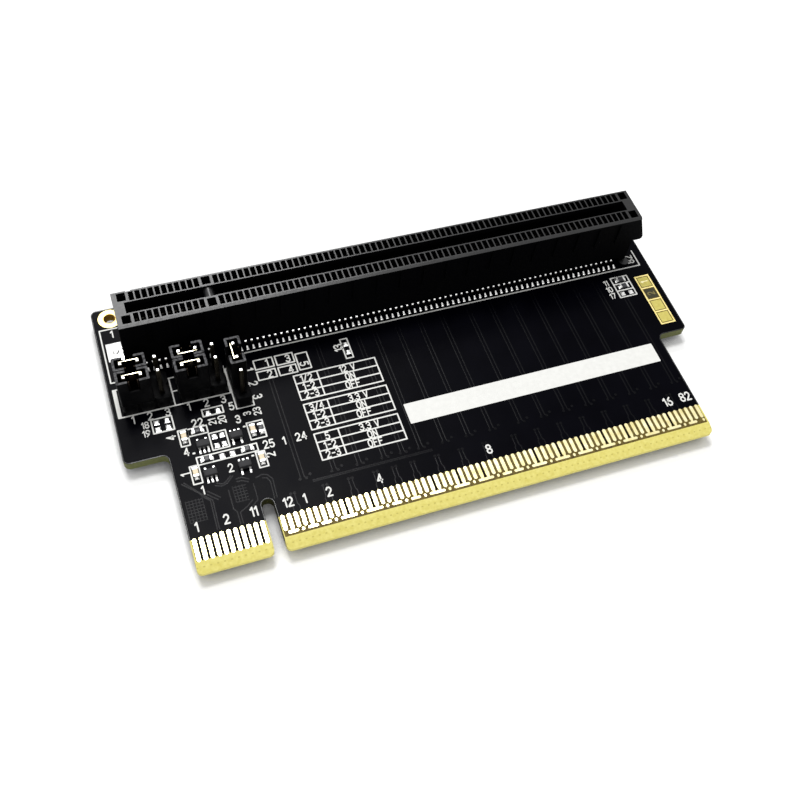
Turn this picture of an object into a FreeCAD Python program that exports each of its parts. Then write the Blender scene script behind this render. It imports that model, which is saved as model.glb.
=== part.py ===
"""Expansion slot adapter card: a black circuit board with gold edge fingers along one side,
an upright surface-mount card slot along the other, and three jumper headers at its left end.

Drawing datum, in millimetres: X from the first edge finger along the card, Y from the tops of the
edge fingers towards the slot, Z up from the board's upper face. Each piece is moved from this datum
to the card's bottom centre when it is saved.
"""
import FreeCAD, Part
import math
import os

V = FreeCAD.Vector

# Circuit board
BOARD_T = 1.6
BOARD_LEFT = -7.2
BOARD_RIGHT = 89.2
BOARD_REAR = 44.2
SHOULDER_Y = 14.55
TONGUE_LEFT = -0.65
TONGUE_RIGHT = 83.65
CARD_EDGE = -5.45
BOARD_CORNER_R = 1.0
TONGUE_CORNER_R = 0.8
KEY_LEFT = 10.6
KEY_RIGHT = 12.45
KEY_TOP = 3.2
BEVEL_LENGTH = 1.7
BEVEL_DROP = 0.5
BEVEL_SPILL = 0.5

# Mounting hole with its plated rings
HOLE_X = -4.4
HOLE_Y = 42.1
HOLE_R = 1.0
RING_R = 1.85
RING_SIDES = 24

# Edge fingers, numbered from 1 with a key gap of two places after the eleventh
COPPER = 0.05
CONTACT_COUNT = 82
CONTACTS_BEFORE_KEY = 11
KEY_GAP = 2
PITCH = 1.0
FINGER_W = 0.68
FINGER_LENGTH = 3.7
SIGNAL_LENGTH = 2.5
BAR_Y = -2.94
BAR_W = 0.46
BAR_OVERHANG = 0.46
DOT_SIZE = 0.5
GROUND_GROUPS = ([13], [16], [18], [21, 22], [25, 26], [29], [32], [35, 36], [39, 40], [43, 44], [47],
                 [49], [52, 53], [56, 57], [60, 61], [64, 65], [68, 69], [72, 73], [76, 77], [80])

# Layer window: a plated frame round four squares of bare laminate
WINDOW_LEFT = 85.22
WINDOW_RIGHT = 88.06
WINDOW_FRONT = 16.4
WINDOW_REAR = 27.3
WINDOW_COUNT = 4
WINDOW_RAIL = 0.26
LAMINATE_T = 0.03

# Card slot housing
SLOT_LEFT = -3.3
SLOT_RIGHT = 85.4
SLOT_Y = 34.8
SLOT_W = 7.0
SLOT_H = 11.05
SLOT_UNDERSIDE = 0.75
SLOT_EDGE = 0.3
COLLAR_Z = 5.6
COLLAR_STEP = 0.3
PANEL_PITCH = 4.0
PANEL_GAP = 1.06
PANEL_TOP = 10.3
MOUTH_LEFT = -1.62
MOUTH_RIGHT = 83.6
MOUTH_W = 2.1
MOUTH_FLOOR = 2.9
DECK_Z = 10.2
CAVITY_W = 0.78
CAVITY_OUTER = 2.97
CAVITY_INNER = 1.25
CHANNEL_MARGIN = 0.17
SLOT_CONTACT_X = -0.33
KEY_RIB_W = 1.75
KEY_RIB_TOP = 10.8
CORE_W = 1.35
CORE_INNER = 1.4
CORE_FLOOR = 3.0
RIDGE_REACH = 1.55
RIDGE_TOP = 10.6
RIDGE_NOSE = 6.3
RIDGE_Z = 5.45
RIDGE_R = 0.3
FOOT_BLOCK = 1.4
FOOT_R = 0.95
FOOT_SET_BACK = 0.55
FOOT_DROP = 0.25
MARK_LEFT = -1.04
MARK_W = 0.75
MARK_DEPTH = 0.5

# Slot contacts: bent strips, each with a solder foot, a shoulder and a sprung nose
CONTACT_W = 0.45
TOE = 4.75
SHOULDER = 3.55
BEND_OUTER = 1.95
BEND_INNER = 1.7
NOSE = 0.72
NOSE_Z = 9.1
TIP = 1.05
TIP_Z = 9.9
SHOULDER_TOP = 0.62

# Hold-down tabs at both ends of the slot
TAB_REACH_LEFT = 2.65
TAB_REACH_RIGHT = 1.6
TAB_W = 3.6
TAB_T = 0.2
TAB_RISE = 2.6
TAB_Y = 35.2
TAB_HOLE_R = 0.5

# Jumper headers: square pins on a 2.54 grid in moulded blocks
GRID = 2.54
PIN_SIDE = 0.64
PIN_ABOVE = 6.0
PIN_BELOW = 1.4
PIN_POINT = 0.12
BLOCK_H = 2.54
BLOCK_NOTCH = 0.4
HEADER_ROWS_Y = (24.23, 26.77)
HEADER_A_X = -4.28
HEADER_B_X = 4.41
HEADER_C_X = 12.6
HEADER_C_Y = 20.95

# Jumper caps: open sleeves, each with a folded spring clip
CAP_LENGTH = 4.98
CAP_W = 2.44
CAP_H = 6.0
CAP_WALL = 0.42
CAP_SLIT_W = 1.7
CAP_SLIT_DEPTH = 2.6
CLIP_T = 0.2
CLIP_LENGTH = 4.1
CLIP_TOP_GAP = 0.15
CLIP_H = 5.0
CLIP_FLAT = 3.0
CLIP_NECK = 0.9
CLIP_FLOOR = 1.6
PRONG_W = 0.25
PRONG_GAP = 0.25

# Five-lead logic chips
CHIP_LENGTH = 2.0
CHIP_W = 1.25
CHIP_H = 0.95
CHIP_LIFT = 0.08
CHIP_DRAFT = 0.08
LEAD_PITCH = 0.65
LEAD_W = 0.26
LEAD_T = 0.12
LEAD_SPAN = 2.3
LEAD_SLOPE = 0.22
CHIPS_THREE_FRONT = ((4.76, 9.52), (4.75, 14.7))
CHIPS_THREE_REAR = ((9.93, 9.5), (9.9, 14.85))

# Two-terminal chip capacitors and resistors
CHIP_PART_LENGTH = 1.55
CHIP_PART_W = 0.8
TERMINAL = 0.3
CAPACITOR_H = 0.8
RESISTOR_H = 0.45
CAPACITORS = ((2.63, 10.2), (12.64, 9.95), (12.6, 15.15), (2.3, 16.75))
RESISTORS_ALONG_X = ((4.5, 17.4), (4.75, 12.2), (11.0, 12.2), (82.45, 27.35), (82.45, 25.9))
RESISTORS_ALONG_Y = ((13.9, 15.2),)

# Solder lands of the places left empty
LAND_SIDE = 0.85
LAND_TOP_SIDE = 0.45
LAND_H = 0.16
LAND_PAIR = 1.6
LANDS_ALONG_X = ((-0.3, 20.55), (-0.3, 19.3), (7.55, 20.2), (7.87, 12.15), (82.45, 24.45))
LANDS_ALONG_Y = ((6.73, 14.95), (7.92, 14.95), (31.2, 26.2))

TO_BOTTOM_CENTRE = V(-(BOARD_LEFT + BOARD_RIGHT) / 2, -(CARD_EDGE + BOARD_REAR) / 2, BOARD_T + PIN_BELOW)


def save(node, *solids):
    """Move the solids of one node from the drawing datum to the card's frame and write them."""
    shape = Part.makeCompound(list(solids)) if len(solids) > 1 else solids[0].copy()
    shape.translate(TO_BOTTOM_CENTRE)
    shape.exportStep("parts/%s.step" % node)


def box(x0, x1, y0, y1, z0, z1):
    return Part.makeBox(x1 - x0, y1 - y0, z1 - z0, V(x0, y0, z0))


def prism(points, sweep):
    """Sweep a closed polygon of 3-D points along a vector."""
    wire = Part.makePolygon(points + points[:1])
    return Part.Face(wire).extrude(sweep)


def prism_x(profile, x0, x1):
    return prism([V(x0, y, z) for y, z in profile], V(x1 - x0, 0, 0))


def prism_y(profile, y0, y1):
    return prism([V(x, y0, z) for x, z in profile], V(0, y1 - y0, 0))


def prism_z(profile, z0, z1):
    return prism([V(x, y, z0) for x, y in profile], V(0, 0, z1 - z0))


def facetted_arc(x, y, r, start, end, steps):
    """Points of an arc, from one angle to another in degrees."""
    angles = [math.radians(start + (end - start) * i / steps) for i in range(steps + 1)]
    return [(x + r * math.cos(a), y + r * math.sin(a)) for a in angles]


def facetted_disc(x, y, r, sides, z0, z1):
    return prism_z(facetted_arc(x, y, r, 0, 360, sides)[:-1], z0, z1)


def rounded_plate(corners, z0, z1):
    """Plate from (x, y, radius) corners, with an arc at each corner that has a radius."""
    points = [V(x, y, z0) for x, y, radius in corners]
    radii = [radius for x, y, radius in corners]
    starts, ends, edges = [], [], []
    for i, corner in enumerate(points):
        back = (points[i - 1] - corner).normalize()
        ahead = (points[(i + 1) % len(points)] - corner).normalize()
        half = back.getAngle(ahead) / 2
        trim = radii[i] / math.tan(half)
        starts.append(corner + back * trim)
        ends.append(corner + ahead * trim)
        if radii[i]:
            inward = (back + ahead).normalize()
            middle = corner + inward * (radii[i] / math.sin(half) - radii[i])
            edges.append(Part.Arc(starts[i], middle, ends[i]).toShape())
    for i in range(len(points)):
        following = starts[(i + 1) % len(points)]
        if ends[i].distanceToPoint(following) > 1e-6:
            edges.append(Part.LineSegment(ends[i], following).toShape())
    wire = Part.Wire(Part.__sortEdges__(edges))
    return Part.Face(wire).extrude(V(0, 0, z1 - z0))


def frustum(x, y, z0, z1, bottom, top):
    """Block whose (length, width) rectangle changes evenly from its bottom to its top."""
    bx, by = bottom[0] / 2, bottom[1] / 2
    tx, ty = top[0] / 2, top[1] / 2
    block = Part.makeWedge(-bx, z0, -by, -ty, -tx, bx, z1, by, ty, tx)
    block.rotate(V(0, 0, 0), V(1, 0, 0), 90)
    block.translate(V(x, y, 0))
    return block


def joined(solids):
    return solids[0].multiFuse(solids[1:]).removeSplitter()


def contact_x(number):
    """Place of a numbered edge contact along the card."""
    place = number - 1
    if number > CONTACTS_BEFORE_KEY:
        place += KEY_GAP
    return place * PITCH


def header_pins(x, rows, columns=3):
    """Pin places of a header, column by column."""
    return [(x + i * GRID, y) for i in range(columns) for y in rows]


HEADER_PINS = {
    "a": header_pins(HEADER_A_X, HEADER_ROWS_Y),
    "b": header_pins(HEADER_B_X, HEADER_ROWS_Y),
    "c": header_pins(HEADER_C_X, [HEADER_C_Y + i * GRID for i in range(3)], columns=1),
}


def pin_hole(x, y, z0, z1):
    """Space that a soldered or pressed-in header pin fills."""
    side = PIN_SIDE / 2
    return box(x - side, x + side, y - side, y + side, z0, z1)


# The board is one routed plate: tongue, key notch, shoulders, bevelled card edge and drilled holes.
def circuit_board():
    key_r = (KEY_RIGHT - KEY_LEFT) / 2
    plate = rounded_plate([
        (BOARD_LEFT, BOARD_REAR, BOARD_CORNER_R), (BOARD_LEFT, SHOULDER_Y, BOARD_CORNER_R),
        (TONGUE_LEFT, SHOULDER_Y, BOARD_CORNER_R), (TONGUE_LEFT, CARD_EDGE, TONGUE_CORNER_R),
        (KEY_LEFT, CARD_EDGE, TONGUE_CORNER_R), (KEY_LEFT, KEY_TOP, key_r * 0.999),
        (KEY_RIGHT, KEY_TOP, key_r * 0.999), (KEY_RIGHT, CARD_EDGE, TONGUE_CORNER_R),
        (TONGUE_RIGHT, CARD_EDGE, TONGUE_CORNER_R), (TONGUE_RIGHT, SHOULDER_Y, BOARD_CORNER_R),
        (BOARD_RIGHT, SHOULDER_Y, TONGUE_CORNER_R), (BOARD_RIGHT, BOARD_REAR, BOARD_CORNER_R)],
        -BOARD_T, 0)
    cuts = [Part.makeCylinder(HOLE_R, BOARD_T, V(HOLE_X, HOLE_Y, -BOARD_T))]
    for pins in HEADER_PINS.values():
        cuts += [pin_hole(x, y, -BOARD_T, 0) for x, y in pins]
    spill = BEVEL_DROP * BEVEL_SPILL / BEVEL_LENGTH
    for face_z, inwards in ((0, -1), (-BOARD_T, 1)):
        wedge = [(CARD_EDGE + BEVEL_LENGTH, face_z), (CARD_EDGE - BEVEL_SPILL, face_z),
                 (CARD_EDGE - BEVEL_SPILL, face_z + inwards * (BEVEL_DROP + spill))]
        cuts.append(prism_x(wedge, TONGUE_LEFT - 1, TONGUE_RIGHT + 1))
    return plate.cut(cuts)


def hole_rings():
    """Plated ring round the mounting hole, on both faces of the board."""
    clear_r = HOLE_R / math.cos(math.pi / RING_SIDES)
    rings = []
    for z in (0, -BOARD_T - COPPER):
        disc = facetted_disc(HOLE_X, HOLE_Y, RING_R, RING_SIDES, z, z + COPPER)
        rings.append(disc.cut(facetted_disc(HOLE_X, HOLE_Y, clear_r, RING_SIDES, z, z + COPPER)))
    return rings


def finger(number, length, z0):
    x = contact_x(number)
    return box(x - FINGER_W / 2, x + FINGER_W / 2, -length, 0, z0, z0 + COPPER)


def grounded_fingers(group):
    """Neighbouring ground fingers joined at their lower ends by a cross bar."""
    reach = FINGER_W / 2 + BAR_OVERHANG
    bar = box(contact_x(group[0]) - reach, contact_x(group[-1]) + reach,
              BAR_Y - BAR_W / 2, BAR_Y + BAR_W / 2, 0, COPPER)
    return joined([bar] + [finger(number, -BAR_Y, 0) for number in group])


def dots_between_bars():
    """Test dots that stand in line with the bars, one below each pair of signal fingers."""
    dots = []
    for group, following in zip(GROUND_GROUPS, GROUND_GROUPS[1:]):
        if following[0] - group[-1] > 2:
            x = (contact_x(group[-1]) + contact_x(following[0])) / 2
            dots.append(box(x - DOT_SIZE / 2, x + DOT_SIZE / 2,
                            BAR_Y - DOT_SIZE / 2, BAR_Y + DOT_SIZE / 2, 0, COPPER))
    return dots


def edge_fingers_top():
    grounds = [number for group in GROUND_GROUPS for number in group]
    solids = [finger(n, FINGER_LENGTH, 0) for n in range(1, CONTACTS_BEFORE_KEY + 1)]
    solids += [finger(n, SIGNAL_LENGTH, 0) for n in range(CONTACTS_BEFORE_KEY + 1, CONTACT_COUNT + 1)
               if n not in grounds]
    return solids + [grounded_fingers(group) for group in GROUND_GROUPS] + dots_between_bars()


def edge_fingers_bottom():
    return [finger(n, FINGER_LENGTH, -BOARD_T - COPPER) for n in range(1, CONTACT_COUNT + 1)]


def layer_window():
    """Plated frame with its rails, and the squares of bare laminate that show between them."""
    frame = box(WINDOW_LEFT, WINDOW_RIGHT, WINDOW_FRONT, WINDOW_REAR, 0, COPPER)
    step = (WINDOW_REAR - WINDOW_FRONT - WINDOW_RAIL) / WINDOW_COUNT
    squares, openings = [], []
    for i in range(WINDOW_COUNT):
        span = (WINDOW_LEFT + WINDOW_RAIL, WINDOW_RIGHT - WINDOW_RAIL,
                WINDOW_FRONT + i * step + WINDOW_RAIL, WINDOW_FRONT + (i + 1) * step)
        openings.append(box(*span, 0, COPPER))
        squares.append(box(*span, 0, LAMINATE_T))
    return frame.cut(openings), squares


def slot_contact_places():
    return [SLOT_CONTACT_X + contact_x(n) for n in range(1, CONTACT_COUNT + 1)]


def both_rows(profile):
    """A half section given as (distance from the slot's centre line, z), in front and mirrored behind."""
    return ([(SLOT_Y - d, z) for d, z in profile], [(SLOT_Y + d, z) for d, z in profile])


# The housing is one moulding. Its section steps out into a collar, which is cut into panels along
# both sides and ends in a retention ridge. Inside, two channels run under a deck: the card enters
# through the mouth in the middle of the deck, and each contact stands under a window beside it.
def housing_blank():
    half = SLOT_W / 2
    base = half - COLLAR_STEP
    front, rear = both_rows([(base, SLOT_UNDERSIDE), (base, COLLAR_Z), (half, COLLAR_Z),
                             (half, SLOT_H - SLOT_EDGE), (half - SLOT_EDGE, SLOT_H)])
    body = prism_x(front + rear[::-1], SLOT_LEFT, SLOT_RIGHT)
    ridge = prism_y([(SLOT_RIGHT, RIDGE_TOP), (SLOT_RIGHT + RIDGE_REACH, RIDGE_NOSE),
                     (SLOT_RIGHT + RIDGE_REACH, RIDGE_Z + RIDGE_R),
                     (SLOT_RIGHT + RIDGE_REACH - RIDGE_R, RIDGE_Z), (SLOT_RIGHT, RIDGE_Z)],
                    SLOT_Y - half, SLOT_Y + half)
    feet = [box(SLOT_LEFT, SLOT_LEFT + FOOT_BLOCK, SLOT_Y - base, SLOT_Y + base, 0, SLOT_UNDERSIDE),
            box(SLOT_RIGHT - FOOT_BLOCK, SLOT_RIGHT, SLOT_Y - base, SLOT_Y + base, 0, SLOT_UNDERSIDE)]
    for x in (SLOT_LEFT + FOOT_SET_BACK, SLOT_RIGHT - FOOT_SET_BACK):
        feet.append(facetted_disc(x, SLOT_Y - half - FOOT_DROP, FOOT_R, 16, 0, SLOT_UNDERSIDE - FOOT_DROP))
    return joined([body, ridge] + feet)


def key_x():
    """Middle of the key gap between the slot's contacts."""
    places = slot_contact_places()
    return (places[CONTACTS_BEFORE_KEY - 1] + places[CONTACTS_BEFORE_KEY]) / 2


def housing_mouth():
    """The opening for the card's edge, less the key rib with its rounded top."""
    half, r = MOUTH_W / 2, KEY_RIB_W / 2
    mouth = box(MOUTH_LEFT, MOUTH_RIGHT, SLOT_Y - half, SLOT_Y + half, MOUTH_FLOOR, SLOT_H)
    crown = facetted_arc(key_x(), KEY_RIB_TOP - r, r, 0, 180, 8)
    rib = prism_y(crown + [(key_x() - r, MOUTH_FLOOR), (key_x() + r, MOUTH_FLOOR)],
                  SLOT_Y - half, SLOT_Y + half)
    return mouth.cut(rib)


def housing_channels():
    """Space for the contacts under the deck, on each side of the key, round the card's stop."""
    front, rear = both_rows([(CAVITY_INNER, MOUTH_FLOOR), (CAVITY_INNER, 0), (CAVITY_OUTER, 0),
                             (CAVITY_OUTER, DECK_Z)])
    places = slot_contact_places()
    before, after = places[:CONTACTS_BEFORE_KEY], places[CONTACTS_BEFORE_KEY:]
    reach = CAVITY_W / 2 + CHANNEL_MARGIN
    return [prism_x(front + rear[::-1], run[0] - reach, run[-1] + reach) for run in (before, after)]


def deck_openings(x, length, inner, floor):
    """A pair of openings through the top face, one in front of the mouth and one behind it."""
    openings = []
    for front, rear in ((-CAVITY_OUTER, -inner), (inner, CAVITY_OUTER)):
        openings.append(box(x - length / 2, x + length / 2, SLOT_Y + front, SLOT_Y + rear, floor, SLOT_H))
    return openings


def housing_windows():
    """One window over each contact, and blind wide ones at the ends and beside the key."""
    places = slot_contact_places()
    end_gap = key_x() - places[CONTACTS_BEFORE_KEY - 1]
    openings = []
    for x in places:
        openings += deck_openings(x, CAVITY_W, CAVITY_INNER, DECK_Z)
    for x in (places[0] - end_gap, key_x(), places[-1] + end_gap):
        openings += deck_openings(x, CORE_W, CORE_INNER, CORE_FLOOR)
    return openings


def housing_panel_gaps():
    """Grooves that divide the collar into panels, on the front and the rear wall."""
    half = SLOT_W / 2
    middle = (SLOT_LEFT + SLOT_RIGHT) / 2
    count = int((SLOT_RIGHT - SLOT_LEFT) / PANEL_PITCH)
    gaps = []
    for i in range(count + 1):
        x = middle + (i - count / 2) * PANEL_PITCH
        if x - PANEL_GAP > SLOT_LEFT and x + PANEL_GAP < SLOT_RIGHT:
            for y0 in (SLOT_Y - half, SLOT_Y + half - COLLAR_STEP):
                gaps.append(box(x - PANEL_GAP / 2, x + PANEL_GAP / 2, y0, y0 + COLLAR_STEP,
                                COLLAR_Z, PANEL_TOP))
    return gaps


def slot_housing():
    mark = box(MARK_LEFT, MARK_LEFT + MARK_W, SLOT_Y + SLOT_W / 2 - SLOT_EDGE - COLLAR_STEP / 2,
               SLOT_Y + SLOT_W / 2, SLOT_H - MARK_DEPTH, SLOT_H)
    cuts = [housing_mouth(), mark] + housing_channels() + housing_windows() + housing_panel_gaps()
    return housing_blank().cut(cuts).removeSplitter()


# A slot contact is a bent strip. Its toe is soldered to the board, its shoulder passes under the
# wall, and its beam leans into the mouth, where the nose presses on an edge finger.
def slot_contacts(row):
    profile = [(TOE, 0), (BEND_INNER, 0), (NOSE, NOSE_Z), (TIP, TIP_Z),
               (BEND_OUTER, SHOULDER_TOP), (SHOULDER, SHOULDER_TOP)]
    section = both_rows(profile)[row]
    return [prism_x(section, x - CONTACT_W / 2, x + CONTACT_W / 2) for x in slot_contact_places()]


# A hold-down tab is an angle plate: its foot is soldered flat and its upright lies on the housing's end.
def hold_down(end_x, outwards, reach):
    section = [(0, 0), (reach, 0), (reach, TAB_T), (TAB_T, TAB_T), (TAB_T, TAB_RISE), (0, TAB_RISE)]
    angle = prism_y([(end_x + outwards * d, z) for d, z in section], TAB_Y - TAB_W / 2, TAB_Y + TAB_W / 2)
    return angle.cut(facetted_disc(end_x + outwards * reach / 2, TAB_Y, TAB_HOLE_R, 12, 0, TAB_T))


# A header block is a row of moulded cells with a V notch between neighbours.
def notched_edge(start, along, inward, cells):
    points = []
    for i in range(cells):
        points.append(start + along * (i * GRID + BLOCK_NOTCH))
        points.append(start + along * ((i + 1) * GRID - BLOCK_NOTCH))
        if i < cells - 1:
            points.append(start + along * ((i + 1) * GRID) + inward * BLOCK_NOTCH)
    return points


def header_block(pins):
    low = V(min(x for x, y in pins) - GRID / 2, min(y for x, y in pins) - GRID / 2, 0)
    columns = len({x for x, y in pins})
    rows = len({y for x, y in pins})
    right, ahead = V(1, 0, 0), V(0, 1, 0)
    far = low + right * (columns * GRID) + ahead * (rows * GRID)
    outline = notched_edge(low, right, ahead, columns)
    outline += notched_edge(low + right * (columns * GRID), ahead, -right, rows)
    outline += notched_edge(far, -right, -ahead, columns)
    outline += notched_edge(low + ahead * (rows * GRID), -ahead, right, rows)
    return prism(outline, V(0, 0, BLOCK_H)).cut([pin_hole(x, y, 0, BLOCK_H) for x, y in pins])


def pointed_pin(x, y):
    """Square pin whose two ends are bevelled on all four sides."""
    side = PIN_SIDE / 2
    pin = box(x - side, x + side, y - side, y + side, -BOARD_T - PIN_BELOW, BLOCK_H + PIN_ABOVE)
    ends = [edge for edge in pin.Edges if edge.BoundBox.ZLength < PIN_POINT]
    return pin.makeChamfer(PIN_POINT, ends)


def jumper_cap():
    """Open sleeve over two pins, slit at the middle of both long sides. Drawn about its own centre."""
    length, width = CAP_LENGTH / 2, CAP_W / 2
    shell = box(-length, length, -width, width, 0, CAP_H)
    shell = shell.makeChamfer(CAP_WALL / 3, [edge for edge in shell.Edges if edge.BoundBox.ZLength > 1])
    bore = box(-length + CAP_WALL, length - CAP_WALL, -width + CAP_WALL, width - CAP_WALL, 0, CAP_H)
    slit = box(-CAP_SLIT_W / 2, CAP_SLIT_W / 2, -width, width, CAP_H - CAP_SLIT_DEPTH, CAP_H)
    return shell.cut([bore, slit])


def jumper_clip():
    """Folded spring: a plate against both pins, a floor between them and two prongs on the far wall.

    Below its straight top edge the plate has shoulders, which are bent back to the near wall.
    """
    wall = CAP_W / 2 - CAP_WALL
    pin_face = PIN_SIDE / 2
    flat, end = CLIP_FLAT / 2, CLIP_LENGTH / 2
    top = CAP_H - CLIP_TOP_GAP
    bottom = top - CLIP_H
    outline = [(-end, wall - CLIP_T), (-flat, pin_face), (flat, pin_face), (end, wall - CLIP_T),
               (end, wall), (flat, pin_face + CLIP_T), (-flat, pin_face + CLIP_T), (-end, wall)]
    pieces = [prism_z(outline, bottom, top - CLIP_NECK),
              box(-flat, flat, pin_face, pin_face + CLIP_T, top - CLIP_NECK, top),
              box(-CLIP_FLOOR / 2, CLIP_FLOOR / 2, -wall, pin_face, bottom, bottom + CLIP_T)]
    for edge in (-CLIP_FLOOR / 2, CLIP_FLOOR / 2 - PRONG_W):
        pieces.append(box(edge, edge + PRONG_W, -wall, -wall + CLIP_T, bottom, top - PRONG_GAP))
    return joined(pieces)


def save_jumper(index, x, y, quarter_turns):
    """Cap and clip over two pins, with the clip's side turned to face the way it does on the card."""
    for node, solid in (("jumper_cap_%d" % index, jumper_cap()), ("jumper_clip_%d" % index, jumper_clip())):
        solid.rotate(V(0, 0, 0), V(0, 0, 1), 90 * quarter_turns)
        solid.translate(V(x, y, BLOCK_H))
        save(node, solid)


def chip_body(x, y):
    """Moulded body that tapers both ways from the parting line at its waist."""
    waist = CHIP_LIFT + CHIP_H / 2
    middle = (CHIP_LENGTH, CHIP_W)
    end = (CHIP_LENGTH - 2 * CHIP_DRAFT, CHIP_W - 2 * CHIP_DRAFT)
    return joined([frustum(x, y, CHIP_LIFT, waist, end, middle),
                   frustum(x, y, waist, CHIP_LIFT + CHIP_H, middle, end)])


def chip_leads(x, y, three_side):
    """Five bent leads: three on one long side of the body and two on the other."""
    waist = CHIP_LIFT + CHIP_H / 2
    half, toe = CHIP_W / 2, LEAD_SPAN / 2
    root = half - CHIP_DRAFT * LEAD_T / (CHIP_H / 2)
    ankle = half + LEAD_SLOPE
    section = [(half, waist), (ankle, LEAD_T), (toe, LEAD_T), (toe, 0), (ankle - LEAD_T, 0),
               (root, waist - LEAD_T)]
    leads = []
    for side, offsets in ((three_side, (-1, 0, 1)), (-three_side, (-1, 1))):
        for offset in offsets:
            middle = x + offset * LEAD_PITCH
            leads.append(prism_x([(y + side * d, z) for d, z in section],
                                 middle - LEAD_W / 2, middle + LEAD_W / 2))
    return leads


def chip_part(x, y, height, along_y):
    """Body and two end terminals of a surface-mount capacitor or resistor."""
    half, side = CHIP_PART_LENGTH / 2, CHIP_PART_W / 2
    pieces = [box(-half + TERMINAL, half - TERMINAL, -side, side, 0, height),
              box(-half, -half + TERMINAL, -side, side, 0, height),
              box(half - TERMINAL, half, -side, side, 0, height)]
    for piece in pieces:
        if along_y:
            piece.rotate(V(0, 0, 0), V(0, 0, 1), 90)
        piece.translate(V(x, y, 0))
    return pieces[0], pieces[1:]


def empty_lands():
    """Low mounds of solder on the paired lands of the places that hold no part."""
    offset = LAND_PAIR / 2
    places = [(x + side * offset, y) for x, y in LANDS_ALONG_X for side in (-1, 1)]
    places += [(x, y + side * offset) for x, y in LANDS_ALONG_Y for side in (-1, 1)]
    bottom, top = (LAND_SIDE, LAND_SIDE), (LAND_TOP_SIDE, LAND_TOP_SIDE)
    return [frustum(x, y, 0, LAND_H, bottom, top) for x, y in places]


os.makedirs("parts", exist_ok=True)

save("circuit_board", circuit_board())
save("hole_rings", *hole_rings())
save("edge_fingers_top", *edge_fingers_top())
save("edge_fingers_bottom", *edge_fingers_bottom())
window_frame, window_squares = layer_window()
save("layer_window_frame", window_frame)
save("layer_windows", *window_squares)

save("slot_housing", slot_housing())
save("slot_contacts_front", *slot_contacts(0))
save("slot_contacts_rear", *slot_contacts(1))
save("hold_down_left", hold_down(SLOT_LEFT, -1, TAB_REACH_LEFT))
save("hold_down_right", hold_down(SLOT_RIGHT, 1, TAB_REACH_RIGHT))

for letter, pins in HEADER_PINS.items():
    save("header_block_" + letter, header_block(pins))
    save("header_pins_" + letter, *[pointed_pin(x, y) for x, y in pins])

cap_x = [HEADER_A_X + GRID / 2, HEADER_B_X + GRID / 2]
front_y, rear_y = HEADER_ROWS_Y
save_jumper(1, cap_x[0], rear_y, 0)
save_jumper(2, cap_x[0], front_y, 0)
save_jumper(3, cap_x[1], rear_y, 2)
save_jumper(4, cap_x[1], front_y, 0)
save_jumper(5, HEADER_C_X, HEADER_C_Y + 1.5 * GRID, 1)

chips = [(x, y, -1) for x, y in CHIPS_THREE_FRONT] + [(x, y, 1) for x, y in CHIPS_THREE_REAR]
for i, (x, y, three_side) in enumerate(chips, 1):
    save("logic_chip_%d" % i, chip_body(x, y))
    save("chip_leads_%d" % i, *chip_leads(x, y, three_side))

capacitor_ends = []
for i, (x, y) in enumerate(CAPACITORS, 1):
    body, ends = chip_part(x, y, CAPACITOR_H, along_y=True)
    save("capacitor_%d" % i, body)
    capacitor_ends += ends
save("capacitor_terminals", *capacitor_ends)

resistor_ends = []
resistors = [(x, y, False) for x, y in RESISTORS_ALONG_X] + [(x, y, True) for x, y in RESISTORS_ALONG_Y]
for i, (x, y, along_y) in enumerate(resistors, 1):
    body, ends = chip_part(x, y, RESISTOR_H, along_y)
    save("resistor_%d" % i, body)
    resistor_ends += ends
save("resistor_terminals", *resistor_ends)

save("solder_lands", *empty_lands())
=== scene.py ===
# %% [markdown]
# # An expansion slot adapter card
#
# A small black circuit board with gold edge fingers along one side, an upright card slot along the
# other and three jumper headers at its left end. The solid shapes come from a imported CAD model. This
# lesson gives each of them its real finish, and models in Blender what is too fine for CAD: rounded
# fingers, bent contacts, solder, raised traces and the white legend.

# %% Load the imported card
import bmesh
import bpy
from math import atan2, cos, hypot, radians, sin
from mathutils import Matrix, Quaternion, Vector


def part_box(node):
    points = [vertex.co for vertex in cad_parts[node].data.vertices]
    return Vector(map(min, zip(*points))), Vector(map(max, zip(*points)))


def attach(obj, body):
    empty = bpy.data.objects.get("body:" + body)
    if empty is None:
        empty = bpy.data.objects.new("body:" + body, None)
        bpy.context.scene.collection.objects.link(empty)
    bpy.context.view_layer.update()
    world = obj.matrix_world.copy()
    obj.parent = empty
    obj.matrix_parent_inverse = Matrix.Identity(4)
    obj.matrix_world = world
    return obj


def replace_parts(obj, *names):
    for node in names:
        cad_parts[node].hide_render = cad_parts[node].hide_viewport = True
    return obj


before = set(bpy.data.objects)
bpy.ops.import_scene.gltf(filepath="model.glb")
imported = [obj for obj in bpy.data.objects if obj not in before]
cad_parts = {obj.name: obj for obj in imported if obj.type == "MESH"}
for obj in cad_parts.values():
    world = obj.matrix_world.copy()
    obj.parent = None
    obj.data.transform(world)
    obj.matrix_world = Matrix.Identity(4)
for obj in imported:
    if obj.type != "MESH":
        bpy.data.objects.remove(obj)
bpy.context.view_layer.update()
print("CAD nodes:", len(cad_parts))

# %% [markdown]
# ## Card millimetres
#
# Every drawing of a card starts at its first edge finger, so the pieces below are placed the same way:
# x along the card from the middle of finger 1, y from the tops of the fingers towards the slot, and z
# up from the board's upper face. One function turns that into the frame's metres. Reading the origin
# from the loaded nodes keeps every piece on the card, wherever the card stands.

# %% Card millimetres
MM = 0.001
FINGER_HALF = 0.34
finger_low, finger_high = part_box("edge_fingers_top")
board_low, board_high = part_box("circuit_board")
ORIGIN = Vector((finger_low.x + FINGER_HALF * MM, finger_high.y, board_high.z))
BOARD_T = (board_high.z - board_low.z) / MM


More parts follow.
